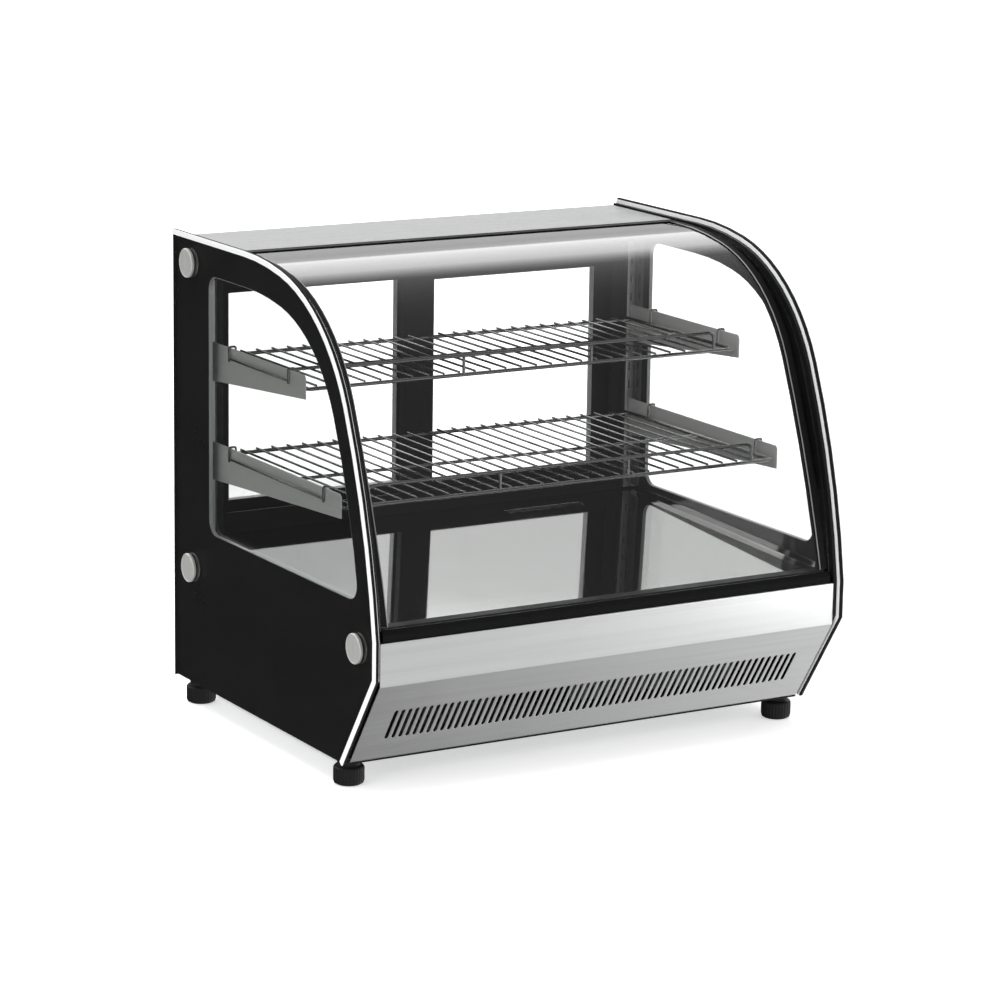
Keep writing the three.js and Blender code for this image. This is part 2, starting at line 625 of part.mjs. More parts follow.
function buildRearFrame() {
  const [z0, z1, head] = [FRAME_FOOT, HEADER_TOP, HEADER_LOW];
  const open = BAY - FRAME_POST;
  const skin = block(-BAY, BAY, FRAME_FRONT, FRAME_FRONT + FRAME_SKIN, z0, z1)
    .subtract(block(-open, open, FRAME_FRONT - 1, FRAME_FRONT + FRAME_SKIN + 1,
      DECK_Z + OPENING_RISE, head));
  const web = block(BAY - FRAME_SKIN, BAY, FRAME_FRONT, FRAME_BACK, z0, z1);
  const back = block(open, BAY, FRAME_BACK - FRAME_SKIN, FRAME_BACK, z0, z1);
  const header = block(-BAY, BAY, FRAME_FRONT, FRAME_BACK, head, z1);
  const hollow = block(-BAY - 1, BAY + 1, FRAME_FRONT + FRAME_SKIN, FRAME_BACK - FRAME_SKIN,
    DOOR_HEAD + DOOR_LIFT + FRAME_SKIN, z1 - FRAME_SKIN);
  let frame = joinAll([skin, web, web.mirror([1, 0, 0]), back, back.mirror([1, 0, 0]), header]);
  frame = frame.subtract(hollow);
  const wide = DOOR_THICK / 2 + TRACK_CLEAR;
  [0, 1].forEach((i) => {
    frame = frame.subtract(block(-BAY + FRAME_SKIN, BAY - FRAME_SKIN, trackY(i) - wide,
      trackY(i) + wide, head - 1, DOOR_HEAD + DOOR_LIFT));
  });
  part('rear_frame', frame, BLACK_METAL);

  const inset = FRAME_SKIN + GAP;
  let track = block(-BAY + inset, BAY - inset, FRAME_FRONT + inset, FRAME_BACK - inset,
    TRACK_LOW, TRACK_TOP);
  [0, 1].forEach((i) => {
    track = track.subtract(block(-BAY, BAY, trackY(i) - wide, trackY(i) + wide,
      DOOR_FOOT - GAP, TOP));
  });
  part('bottom_track', track, ALUMINIUM);
}

function buildDoors() {
  const outer = BAY - FRAME_SKIN - DOOR_SIDE_GAP;
  const z0 = DOOR_FOOT;
  const z1 = DOOR_HEAD;
  const low = z0 + DOOR_RAIL_LOW;
  const high = z1 - DOOR_RAIL_TOP;
  const half = DOOR_OVERLAP / 2;
  const bite = DOOR_GLASS_BITE;
  // the inner track carries the right door, the outer track the left one
  [['right', 1, 0], ['left', -1, 1]].forEach(([name, hand, i]) => {
    const y = trackY(i);
    const y0 = y - DOOR_THICK / 2;
    const y1 = y + DOOR_THICK / 2;
    const a = hand > 0 ? -half : -outer;
    const b = hand > 0 ? outer : half;
    const hole = block(a + DOOR_STILE, b - DOOR_STILE, y0 - 1, y1 + 1, low, high);
    const groove = block(a + DOOR_STILE - bite - GAP, b - DOOR_STILE + bite + GAP,
      y - PANE / 2 - GAP, y + PANE / 2 + GAP, low - bite - GAP, high + bite + GAP);
    const pullX = hand > 0 ? b - DOOR_STILE + PULL_INSET : a + DOOR_STILE - PULL_INSET;
    const pullZ = (low + high) / 2;
    const pull = block(pullX - PULL_HALF, pullX + PULL_HALF, y1 - 5, y1 + 1,
      pullZ - PULL_LENGTH / 2, pullZ + PULL_LENGTH / 2);
    const frame = block(a, b, y0, y1, z0, z1).subtract(hole).subtract(groove).subtract(pull);
    part(`door_frame_${name}`, frame, BLACK_METAL);
    part(`door_glass_${name}`, block(a + DOOR_STILE - bite, b - DOOR_STILE + bite,
      y - PANE / 2, y + PANE / 2, low - bite, high + bite), CLEAR);
  });
}

// ---- shelf standards, brackets and wire shelves -------------------------
const STANDARD_FRONT = FRAME_FRONT - GAP - STANDARD_DEPTH;
const STANDARD_X = BAY - STANDARD_WIDTH / 2;

// the slots line up with the top of the lower shelf's brackets
function lowestSlot(foot) {
  const shelf = DECK_Z + SHELVES[1].rise;
  return shelf - Math.floor((shelf - foot - STANDARD_SLOT[1]) / STANDARD_PITCH) * STANDARD_PITCH;
}

function buildStandards() {
  const y1 = FRAME_FRONT - GAP;
  const z0 = deckTop(y1) + 3;
  const z1 = HEADER_LOW + STANDARD_RISE;
  const [wide, tall, deep] = STANDARD_SLOT;
  let bar = block(STANDARD_X - STANDARD_WIDTH / 2, STANDARD_X + STANDARD_WIDTH / 2,
    STANDARD_FRONT, y1, z0, z1);
  const slots = [];
  for (let z = lowestSlot(z0); z < z1 - tall; z += STANDARD_PITCH) {
    slots.push(block(STANDARD_X - wide / 2, STANDARD_X + wide / 2, STANDARD_FRONT - 1,
      STANDARD_FRONT + deep, z - tall, z));
  }
  bar = bar.subtract(wasm.Manifold.union(slots));
  pair('shelf_standard', bar, ALUMINIUM);
}

function buildBrackets() {
  const [, tall, deep] = STANDARD_SLOT;
  SHELVES.forEach(({ name, rise, clear, drop }) => {
    const z = DECK_Z + rise;
    const rear = STANDARD_FRONT - GAP;
    const front = glassFace(z) + clear;
    const blade = [
      [rear, z], [front + 4, z], [front, z - 4], [front, z - BRACKET_NOSE], [rear, z - drop],
    ];
    const x0 = STANDARD_X - BRACKET_THICK / 2;
    const x1 = STANDARD_X + BRACKET_THICK / 2;
    const slotSteps = Math.round((rise - SHELVES[1].rise) / STANDARD_PITCH);
    const slotTop = DECK_Z + SHELVES[1].rise + (slotSteps - 1) * STANDARD_PITCH;
    const tab = (k) => block(x0, x1, rear - 1, STANDARD_FRONT + deep - 1,
      slotTop - k * STANDARD_PITCH - tall + 1, slotTop - k * STANDARD_PITCH - 1);
    const steps = drop > 2 * STANDARD_PITCH ? [0, 1] : [0];
    const usable = steps.filter((k) => slotTop - k * STANDARD_PITCH - tall > z - drop);
    let bracket = prismX(blade, x0, x1);
    usable.forEach((k) => { bracket = bracket.add(tab(k)); });
    pair(`bracket_${name}`, bracket, STEEL);
  });
}

function buildShelves() {
  SHELVES.forEach(({ name, rise, clear }) => {
    const bracketTop = DECK_Z + rise;
    const z = bracketTop - SHELF_DROP;
    const rear = STANDARD_FRONT - GAP - SHELF_REAR;
    const front = glassFace(bracketTop) + clear + SHELF_FRONT;
    const r = SHELF_FRAME_WIRE / 2;
    const half = STANDARD_X - BRACKET_THICK / 2 - SHELF_SIDE - r;
    const pieces = [];
    const wire = (a, b, radius = r) => pieces.push(rod(a, b, radius, 4));
    [rear, front].forEach((y) => wire([-half, y, z], [half, y, z]));
    wire([-half, (rear + front) / 2, z - 1], [half, (rear + front) / 2, z - 1]);
    const pitch = 2 * (half - CROSS_INSET) / (SHELF_WIRES - 1);
    const lift = r + SHELF_WIRE / 2 - 0.6;
    for (let i = 0; i < SHELF_WIRES; i += 1) {
      const x = -half + CROSS_INSET + i * pitch;
      const w = SHELF_WIRE / 2;
      pieces.push(block(x - w, x + w, front - 1, rear + r + 1, z + lift - w, z + lift + w));
    }
    const rail = z + RAIL_RISE;
    const railHalf = half - RAIL_INSET;
    wire([-railHalf - r, front, rail], [railHalf + r, front, rail]);
    for (let i = 0; i < RAIL_POSTS; i += 1) {
      const x = -railHalf + 2 * railHalf * i / (RAIL_POSTS - 1);
      wire([x, front, z], [x, front, rail], r - 0.5);
    }
    const hook = HOOK_WIRE / 2;
    const outX = STANDARD_X + BRACKET_THICK / 2 + HOOK_CLEAR + hook;
    const over = bracketTop + GAP + hook;
    [-1, 1].forEach((hand) => {
      wire([hand * half, rear, z], [hand * half, front, z]);
      [rear - HOOK_REAR, front + HOOK_FRONT].forEach((y) => {
        wire([hand * half, y, z], [hand * half, y, over + 1], hook);
        wire([hand * (half - 1), y, over], [hand * (outX + 1.3), y, over], hook);
        wire([hand * outX, y, over + 1], [hand * outX, y, z], hook);
      });
    });
    part(`shelf_${name}`, wasm.Manifold.union(pieces), CHROME);
  });
}

// ---- lamp ---------------------------------------------------------------
function buildLamp() {
  const y1 = FRAME_FRONT - GAP;
  const z1 = TOP - GLASS_DROP + 2 - SHEET - GAP;
  const profile = [[y1, z1], [y1 - 26, z1], [y1 - 26, z1 - 8], [y1 - 18, z1 - 18], [y1, z1 - 18]];
  part('led_lamp', prismX(profile, -BAY + 40, BAY - 40), WHITE);
}

// ---- refrigeration ------------------------------------------------------
const HOT_X = PAN_HALF - CONDENSER.side;  // condenser and its fan
const HOT_Y = FRONT + CONDENSER.front;
const HOT_Z = Z0 + CONDENSER.rise;
const COLD_X = BAY - COLD_FAN_SIDE;       // evaporator and its fan
const COLD_FAN_Y = REAR - COLD_FAN_REAR;

// comb outline in (x, y): fins along y on both faces of a core
function combOutline(half, depth, fins) {
  const pitch = 2 * half / fins;
  const root = depth / 2 - 9;
  const out = [];
  for (const side of [-1, 1]) {
    for (let i = 0; i < fins; i += 1) {
      const x = side * (-half + i * pitch);
      const step = side * pitch * 0.45;
      out.push([x, side * -depth / 2], [x + step, side * -depth / 2]);
      out.push([x + step, side * -root], [x + side * pitch, side * -root]);
    }
  }
  return out;
}

// row of return bends on one end of a coil
function returnBends(x, y, z0, count, pitch, radius, hand) {
  const bends = [];
  for (let i = 0; i < count; i += 1) {
    const curve = new THREE.CatmullRomCurve3([
      new THREE.Vector3(x - hand * 6, y, z0 + i * pitch * 2),
      new THREE.Vector3(x + hand * 4, y, z0 + i * pitch * 2),
      new THREE.Vector3(x + hand * 11, y, z0 + i * pitch * 2 + pitch / 2),
      new THREE.Vector3(x + hand * 4, y, z0 + i * pitch * 2 + pitch),
      new THREE.Vector3(x - hand * 6, y, z0 + i * pitch * 2 + pitch),
    ]);
    const section = [];
    for (let k = 0; k < 6; k += 1) {
      section.push(new THREE.Vector2(radius * Math.cos(k * Math.PI / 3), radius * Math.sin(k * Math.PI / 3)));
    }
    bends.push(toSolid(new THREE.ExtrudeGeometry(new THREE.Shape(section), {
      steps: 5, extrudePath: curve, bevelEnabled: false,
    })));
  }
  return joinAll(bends);
}

function coil(name, { half, depth, height, fins }, x, y, z) {
  const core = prismZ(combOutline(half, depth, fins), -height / 2, height / 2);
  const pitch = height / 6;
  const ends = [1, -1].map((hand) =>
    returnBends(hand * half, 0, -height / 2 + pitch / 2, 3, pitch, 3.5, hand));
  part(name, joinAll([core, ...ends]).translate([x, y, z]), ALUMINIUM);
}

// bladed wheel about Z, height along Z
function fanWheel(diameter, height, blades) {
  const hub = turned([[0, 0], [diameter * 0.17, 0], [diameter * 0.17, height], [0, height]], 20);
  const pieces = [hub];
  for (let i = 0; i < blades; i += 1) {
    const blade = new THREE.BoxGeometry(diameter * 0.36, diameter * 0.24, 1.6);
    blade.rotateX(rad(28));
    blade.translate(diameter * 0.3, 0, height / 2);
    blade.rotateZ(2 * Math.PI * i / blades);
    pieces.push(toSolid(blade));
  }
  return joinAll(pieces);
}

function buildRefrigeration() {
  coil('condenser', CONDENSER, HOT_X, HOT_Y, HOT_Z);
  buildCondenserFan();
  buildCompressor();
  buildEvaporator();
}

function buildCondenserFan() {
  const y = HOT_Y + CONDENSER.depth / 2 + GAP;
  const r = FAN_DIAMETER / 2 + FAN_TIP_CLEAR;
  const wide = CONDENSER.half - 5;
  const tall = CONDENSER.height / 2;
  const along = (from, to, radius, sides) =>
    rod([HOT_X, y + from, HOT_Z], [HOT_X, y + to, HOT_Z], radius, sides);
  const plate = block(HOT_X - wide, HOT_X + wide, y, y + SHROUD_PLATE, HOT_Z - tall, HOT_Z + tall);
  const ring = along(0, SHROUD_DEPTH, r + SHROUD_WALL, 32);
  const bore = along(-1, SHROUD_DEPTH + 1, r, 32);
  const motorFront = SHROUD_DEPTH + 1;
  const motorRadius = FAN_MOTOR_DIAMETER / 2;
  const motor = along(motorFront, motorFront + FAN_MOTOR_LENGTH, motorRadius, 20);
  const [strutFront, strutBack, strutHalf] = [y + SHROUD_DEPTH - 3, y + SHROUD_DEPTH + 3, 4];
  const reach = r + 1;
  const bar = (halfX, halfZ) =>
    block(HOT_X - halfX, HOT_X + halfX, strutFront, strutBack, HOT_Z - halfZ, HOT_Z + halfZ);
  const hubRoom = along(strutFront - y - 3, motorFront, motorRadius, 20);
  const struts = bar(reach, strutHalf).add(bar(strutHalf, reach)).subtract(hubRoom);
  part('fan_shroud', plate.add(ring).subtract(bore).add(struts).add(motor), BLACK_METAL);
  const wheel = fanWheel(FAN_DIAMETER, FAN_HEIGHT, FAN_BLADES).rotate([-90, 0, 0]);
  part('condenser_fan', wheel.translate([HOT_X, y + SHROUD_PLATE + 1, HOT_Z]), PLASTIC);
}

function buildCompressor() {
  const c = COMPRESSOR_DIAMETER / 2;
  const can = turned([
    [0, 0], [c - 12, 0], [c, 14], [c, 60], [c + 3, 62], [c + 3, 68], [c, 70], [c, 112],
    [c - 14, 130], [0, 136],
  ], 24);
  const [plateTop, plateBottom] = [-3, -6];
  const plate = block(-95, 95, -50, 50, plateBottom, plateTop);
  const legs = joinAll([-1, 1].map((s) => block(s * 40 - 8, s * 40 + 8, -40, 40, plateTop - 1, 12)));
  const discharge = rod([0, 0, 118], [0, -c - 8, 118], 4, 10);
  const suction = rod([0, 0, 30], [30, -c - 6, 30], 4, 10);
  const pads = joinAll([-1, 1].flatMap((sx) => [-1, 1].map((sy) =>
    rod([sx * 82, sy * 38, plateBottom], [sx * 82, sy * 38, plateBottom - PAD_HEIGHT], 9, 12))));
  const low = Z0 + SHEET + GAP - plateBottom + PAD_HEIGHT;
  const body = joinAll([can, plate, legs, pads, discharge, suction]);
  const [x, y] = [-PAN_HALF + COMPRESSOR_SIDE, REAR - COMPRESSOR_REAR];
  part('compressor', body.translate([x, y, low]), BLACK_METAL);
}

function buildEvaporator() {
  const { half, front, back, wall, rearWall, rise } = COLD_BOX;
  const floor = Z0 + rise;
  const boxFront = COLD_FAN_Y - front;
  const tubTop = deckTop(boxFront) - SHEET - 0.65;
  const outer = block(COLD_X - half, COLD_X + half, boxFront, COLD_FAN_Y + back, floor, tubTop);
  const inner = block(COLD_X - half + wall, COLD_X + half - wall, boxFront + wall,
    COLD_FAN_Y + back - rearWall, floor + wall, tubTop + 5);
  const drainY = COLD_FAN_Y - 20;
  const drain = rod([COLD_X, drainY, floor - 5], [COLD_X, drainY, floor + wall + 5], DRAIN_DIAMETER / 2, 12);
  part('evaporator_box', outer.subtract(inner).subtract(drain), FOAM);
  const coilZ = floor + wall + 5 + EVAPORATOR.height / 2;
  const coilY = boxFront + wall + 9 + EVAPORATOR.depth / 2;
  coil('evaporator', EVAPORATOR, COLD_X, coilY, coilZ);
  const fan = fanWheel(COLD_FAN_DIAMETER, COLD_FAN_HEIGHT, FAN_BLADES);
  part('evaporator_fan', fan.translate([COLD_X, COLD_FAN_Y, coilZ]), PLASTIC);
}

// ---- service side: panel, tray and controls -----------------------------
const TRAY = { half: 110, x: COLD_X, low: 5, height: 22, length: 190 };
const LEFT = -PAN_HALF;                  // left end of the panel
const SWITCHES = [['power', LEFT + 189.1], ['light', LEFT + 157.1]];
const SWITCH_MID = (SWITCHES[0][1] + SWITCHES[1][1]) / 2;
// boxes that snap into the panel: middle, half width, half height and depth
const CONTROL = { x: LEFT + 279.1, z: Z0 + 118, half: 34, tall: 13, depth: 38 };
const SWITCH_BOX = { x: SWITCH_MID, z: Z0 + 118, half: 28, tall: 12, depth: 18 };
const INLET = { x: LEFT + 77.1, z: Z0 + 60, half: 14, tall: 10, depth: 22 };
const SOCKET_WALL = 2;
const SOCKET_DEPTH = 16;
const SOCKET_PINS = [[-7, -2], [0, 3], [7, -2]];
const DISPLAY = { half: 24, low: -2, high: 13, deep: 0.8 };
const BUTTONS = [['set', -22], ['up', 0], ['down', 22]];
const BUTTON_DROP = 9;           // button row, below the middle of the controller
const ROCKER = [[-4, -8.6], [2.6, -9.4], [1.6, 0], [2.6, 9.4], [-4, 8.6], [-6, 0]];
const ROCKER_ROOM = { side: 1, tall: 11, deep: 9 };
const GRILLE = { rows: 6, pitchX: 56, pitchZ: 18, low: 56, long: 46, tall: 6, side: 67.1, apart: 60 };
const WALL = PANEL_Y + SHEET + GAP;      // back of the flanges that lie on the panel

// box with a lid-like flange on the panel's outer face
function snapIn({ x, z, half, tall, depth }) {
  const flange = block(x - half - BEZEL_LAP, x + half + BEZEL_LAP, WALL, WALL + BEZEL,
    z - tall - BEZEL_LAP, z + tall + BEZEL_LAP);
  return flange.add(block(x - half, x + half, WALL - depth, WALL + 1, z - tall, z + tall));
}

function buildRearPanel() {
  const y1 = PANEL_Y + SHEET;
  const top = FRAME_FOOT - GAP;
  const through = (x0, x1, z0, z1) => block(x0, x1, PANEL_Y - 1, y1 + 1, z0, z1);
  const sheet = block(-PAN_HALF, PAN_HALF, PANEL_Y, y1, Z0, top)
    .add(block(-PAN_HALF, PAN_HALF, PANEL_Y - PANEL_FLANGE, y1, top - SHEET, top));
  const tray = TRAY.half + CUT_CLEAR;
  const cuts = [
    through(TRAY.x - tray, TRAY.x + tray, Z0 + TRAY.low - CUT_CLEAR, Z0 + TRAY.low + TRAY.height + CUT_CLEAR),
  ];
  [CONTROL, SWITCH_BOX, INLET].forEach((box) => {
    const [wide, high] = [box.half + CUT_CLEAR, box.tall + CUT_CLEAR];
    cuts.push(through(box.x - wide, box.x + wide, box.z - high, box.z + high));
  });
  const grilleEnd = PAN_HALF - GRILLE.side;
  const controlEnd = CONTROL.x + CONTROL.half + BEZEL_LAP;
  const columns = Math.floor((grilleEnd - controlEnd - GRILLE.apart) / GRILLE.pitchX);
  for (let row = 0; row < GRILLE.rows; row += 1) {
    for (let column = 0; column < columns; column += 1) {
      const x = grilleEnd - GRILLE.long / 2 - column * GRILLE.pitchX;
      const z = Z0 + GRILLE.low + row * GRILLE.pitchZ;
      cuts.push(through(x - GRILLE.long / 2, x + GRILLE.long / 2, z, z + GRILLE.tall));
    }
  }
  part('rear_panel', sheet.subtract(joinAll(cuts)), STEEL);
}

function buildTray() {
  const { half, x, low, height, length } = TRAY;
  const y1 = PANEL_Y + SHEET + TRAY_FACE;
  const faceBack = y1 - TRAY_FACE;
  const z = Z0 + low;
  const w = TRAY_WALL;
  const tub = block(x - half, x + half, y1 - length, faceBack - GAP, z, z + height)
    .subtract(block(x - half + w, x + half - w, y1 - length + w, faceBack - GAP - w, z + w, z + height + 1));
  const face = block(x - half - TRAY_OVERLAP, x + half + TRAY_OVERLAP, faceBack + GAP, y1,
    z - 2, z + height + TRAY_OVERLAP);
  const neck = block(x - half, x + half, faceBack - GAP - 1, y1 - 1, z, z + height);
  part('drip_tray', tub.add(neck).add(face), PLASTIC);
}

function buildController() {
  const { x, z } = CONTROL;
  const display = block(x - DISPLAY.half, x + DISPLAY.half, WALL + BEZEL - DISPLAY.deep, WALL + BEZEL + 1,
    z + DISPLAY.low, z + DISPLAY.high);
  let controller = snapIn(CONTROL).subtract(display);
  BUTTONS.forEach(([name, offset]) => {
    const along = (from, to, radius) =>
      rod([x + offset, WALL + from, z - BUTTON_DROP], [x + offset, WALL + to, z - BUTTON_DROP], radius, 16);
    controller = controller.subtract(along(-BUTTON_ROOM, BUTTON_PROUD, BUTTON_DIAMETER / 2 + BUTTON_CLEAR));
    part(`button_${name}`, along(0, BUTTON_PROUD, BUTTON_DIAMETER / 2), WHITE);
  });
  part('controller', controller, PLASTIC);
}

function buildSwitches() {
  const { z } = SWITCH_BOX;
  const tilt = rad(ROCKER_TILT);
  const tilted = ROCKER.map(([y, h]) => [
    WALL + y * Math.cos(tilt) - h * Math.sin(tilt), z + y * Math.sin(tilt) + h * Math.cos(tilt),
  ]);
  const wide = ROCKER_HALF + ROCKER_ROOM.side;
  let housing = snapIn(SWITCH_BOX);
  SWITCHES.forEach(([name, x]) => {
    housing = housing.subtract(block(x - wide, x + wide, WALL - ROCKER_ROOM.deep, WALL + BEZEL + 1,
      z - ROCKER_ROOM.tall, z + ROCKER_ROOM.tall));
    part(`${name}_switch`, prismX(tilted, x - ROCKER_HALF, x + ROCKER_HALF), PLASTIC);
  });
  part('switch_housing', housing, PLASTIC);
}

function buildInlet() {
  const { x, z, half, tall } = INLET;
  const [wide, high] = [half - SOCKET_WALL, tall - SOCKET_WALL];
  const socket = block(x - wide, x + wide, WALL - SOCKET_DEPTH, WALL + BEZEL + 1, z - high, z + high);
  const pins = SOCKET_PINS.map(([dx, dz]) =>
    block(x + dx - 1, x + dx + 1, WALL - SOCKET_DEPTH - 1, WALL - 2, z + dz - 2, z + dz + 2));
  part('power_inlet', joinAll([snapIn(INLET).subtract(socket), ...pins]), PLASTIC);
}

buildSides();
buildFront();
buildFascia();
buildDeck();
buildBase();
buildFeet();
buildRearFrame();
buildDoors();
buildStandards();
buildBrackets();
buildShelves();
buildLamp();
buildRefrigeration();
buildRearPanel();
buildTray();
buildController();
buildSwitches();
buildInlet();

export default group;
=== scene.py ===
"""Looks of a countertop bakery display case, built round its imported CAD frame. Metres, +Z up."""
import json
import math

import bmesh
import bpy
from mathutils import Matrix, Vector, geometry


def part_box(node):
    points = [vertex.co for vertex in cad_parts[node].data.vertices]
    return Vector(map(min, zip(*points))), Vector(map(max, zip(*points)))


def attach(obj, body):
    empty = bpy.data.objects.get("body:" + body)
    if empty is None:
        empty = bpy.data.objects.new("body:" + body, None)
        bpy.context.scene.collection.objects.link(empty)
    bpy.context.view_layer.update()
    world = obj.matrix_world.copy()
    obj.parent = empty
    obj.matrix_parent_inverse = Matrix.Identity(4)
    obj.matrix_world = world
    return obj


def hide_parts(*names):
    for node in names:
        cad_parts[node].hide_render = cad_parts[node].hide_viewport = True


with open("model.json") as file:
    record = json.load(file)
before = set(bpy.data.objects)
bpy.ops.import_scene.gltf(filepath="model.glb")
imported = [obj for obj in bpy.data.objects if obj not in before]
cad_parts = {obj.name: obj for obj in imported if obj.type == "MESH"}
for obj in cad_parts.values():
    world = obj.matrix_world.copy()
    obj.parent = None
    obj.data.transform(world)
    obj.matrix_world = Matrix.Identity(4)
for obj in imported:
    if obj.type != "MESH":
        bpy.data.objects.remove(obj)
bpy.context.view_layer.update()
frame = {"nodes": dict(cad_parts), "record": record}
NODES = frame["nodes"]
SIDES = {"left": -1, "right": 1}

# ---- sizes that the frame does not hold ---------------------------------
EDGE_BREAK = 0.0004          # rounding of a machined or folded edge
THIN_EDGE = 0.0002           # the same on glass and thin strips
SMOOTH_ANGLE = math.radians(32)
SAME_PLACE = 1e-4            # two corners closer than this count as one height or face

# wire shelves
SHELF_FRAME_WIRE = 0.0050
SHELF_CROSS_WIRE = 0.0032
SHELF_WIRES = 28
SHELF_GAP = 0.003            # between a side wire and its bracket
SHELF_LIFT = 0.001           # of the frame wires above the bottom of the CAD shelf
END_SPACE = 0.010            # from a side wire to the first cross wire
THIN_FRAME, RAIL_PART, POST_PART = 0.9, 0.9, 0.8     # radii as parts of the frame wire's
RAIL_RISE = 0.025
RAIL_POSTS = 4
RAIL_INSET = 0.0318
RAIL_BEND = 0.010
HOOK_WIRE = 0.0030
HOOK_REAR, HOOK_FRONT = 0.050, 0.038                 # from the rear and front frame wires
HOOK_OUT, HOOK_OVER = 0.0022, 0.0018                 # clear of the bracket's side and top
HOOK_BEND_IN, HOOK_BEND_OUT = 0.003, 0.0022
HOOK_TIE = 0.014             # wire that joins two hooks, below the top of the bracket
HOOK_TAIL = 0.004            # of a hook below that wire
TIE_PART = 0.9               # of the hook wire's radius

# feet
FOOT_FLUTES = 28
FLUTE_DEPTH = 0.0007
FLUTE_FOOT = 0.005           # height at which the flutes start
FOOT_STUD = 0.009            # bare stud above the rubber
FOOT_NECK = 0.74             # of the radius, above the fluted barrel
FOOT_BARREL = 0.66           # of the height

# linings, and the painted shadow strip under the front
SPACER_DEPTH = 0.0009
SHADOW_STRIP_RADIUS = 0.0013              # radius of the black strip that paints the shadow line under the front
BEAD = 0.0009                # radius of the bead along the front seal
BEAD_ABOVE, BEAD_BEFORE = 0.4, -0.1                  # the seal's curved part: above z, in front of y
DOOR_STILE, DOOR_RAIL_LOW, DOOR_RAIL_TOP = 0.046, 0.030, 0.018

# camera
CAMERA_PLACE = (-2.440, -4.110, 1.379)
CAMERA_YAW = 30.61           # degrees, from +Y towards +X
CAMERA_PITCH = 12.75         # degrees, down
CAMERA_ROLL = 0.87
CAMERA_LENS = 133.0
CAMERA_SENSOR = 36.0

# surroundings that the metal and glass mirror, as (place, tone) along a ramp
SKY_STRENGTH = 2.6
WHITE_STRENGTH = 2.0         # of what the camera itself sees round the case
# by the height of the direction, behind and in front of the case
REAR_TONES = [(0.0, 0.30), (0.25, 0.36), (0.305, 0.46), (0.325, 1.0), (0.48, 0.85), (0.66, 0.22), (1.0, 0.10)]
FRONT_TONES = [(0.0, 0.3), (0.15, 0.10), (0.5, 0.09), (0.8, 0.10), (1.0, 0.14)]
SKY_CROSS = (-0.35, 0.25)    # Y over which the front tones turn into the rear ones
# the ground's by depth, from front to back, on the left and on the right
LEFT_GROUND = [(0.0, 0.34), (0.2, 0.26), (0.42, 0.09), (0.5, 0.075), (0.7, 0.02), (1.0, 0.012)]
RIGHT_GROUND = [(0.0, 0.31), (0.2, 0.40), (0.42, 0.68), (0.5, 0.68), (0.7, 0.02), (1.0, 0.012)]
GROUND_CROSS = (0.49, 0.62)  # X over which the left tones turn into the right ones
HORIZON = (-0.02, 0.04)      # Z over which the ground turns into the sky


# ---- node material helpers ----------------------------------------------
def feed(tree, socket, value):
    """Joins a node's output to the socket, or sets the socket to a plain value."""
    if isinstance(value, bpy.types.NodeSocket):
        tree.links.new(value, socket)
    else:
        socket.default_value = value


class Nodes:
    """A material's node tree, with short calls to add and join nodes."""

    def __init__(self, name):
        self.material = bpy.data.materials.new(name)
        self.material.use_nodes = True
        self.tree = self.material.node_tree
        self.tree.nodes.clear()
        self.out = self.tree.nodes.new("ShaderNodeOutputMaterial")

    def add(self, kind, settings=None, **inputs):
        node = self.tree.nodes.new(kind)
        for key, value in (settings or {}).items():
            setattr(node, key, value)
        for key, value in inputs.items():
            feed(self.tree, node.inputs[key.replace("_", " ")], value)
        return node

    def place(self, scale=(1, 1, 1)):
        coords = self.add("ShaderNodeTexCoord")
        return self.add("ShaderNodeMapping", Vector=coords.outputs["Object"], Scale=scale).outputs[0]

    def noise(self, vector, scale, detail=3.0, roughness=0.5):
        node = self.add("ShaderNodeTexNoise", Vector=vector, Scale=scale, Detail=detail,
                        Roughness=roughness)
        return node.outputs["Fac"]

    def spread(self, value, low, high, start=0.3, end=0.7):
        node = self.add("ShaderNodeMapRange", Value=value)
        for key, number in (("From Min", start), ("From Max", end), ("To Min", low), ("To Max", high)):
            node.inputs[key].default_value = number
        return node.outputs[0]

    def blend(self, factor, low, high):
        ramp = self.add("ShaderNodeValToRGB", Fac=factor)
        ramp.color_ramp.elements[0].position = 0.3
        ramp.color_ramp.elements[1].position = 0.7
        ramp.color_ramp.elements[0].color = (*low, 1)
        ramp.color_ramp.elements[1].color = (*high, 1)
        return ramp.outputs[0]

    def math(self, operation, first, second):
        node = self.add("ShaderNodeMath", {"operation": operation})
        for socket, value in zip(node.inputs, (first, second)):
            feed(self.tree, socket, value)
        return node.outputs[0]

    def bump(self, height, strength, distance=0.0002):
        return self.add("ShaderNodeBump", Height=height, Strength=strength,
                        Distance=distance).outputs[0]

    def finish(self, shader):
        self.tree.links.new(shader.outputs[0], self.out.inputs["Surface"])
        return self.material


def shade(colour, part):
    return tuple(min(1.0, c * part) for c in colour)


def brushed(name, colour, along, rough=0.3, grain=1.0, wear=1.0, metallic=1.0):
    """Metal with fine scratches along one axis, and faint cloudy handling marks."""
    n = Nodes(name)
    fine, coarse = 2600.0, 9.0
    streak = n.noise(n.place([coarse if i == along else fine for i in range(3)]), 1.0, 4.0, 0.65)
    broad = n.noise(n.place([2.0 if i == along else 160.0 for i in range(3)]), 1.0, 2.0)
    cloud = n.noise(n.place(), 7.0, 4.0, 0.6)
    tone = n.blend(broad, shade(colour, 1 - 0.05 * wear), shade(colour, 1 + 0.03 * wear))
    mixed = n.math("ADD", n.spread(streak, rough * 0.8, rough * 1.25),
                   n.spread(cloud, -0.03 * wear, 0.04 * wear))
    return n.finish(n.add(
        "ShaderNodeBsdfPrincipled", Base_Color=tone, Metallic=metallic, Roughness=mixed,
        Normal=n.bump(streak, 0.12 * grain, 0.00008)))


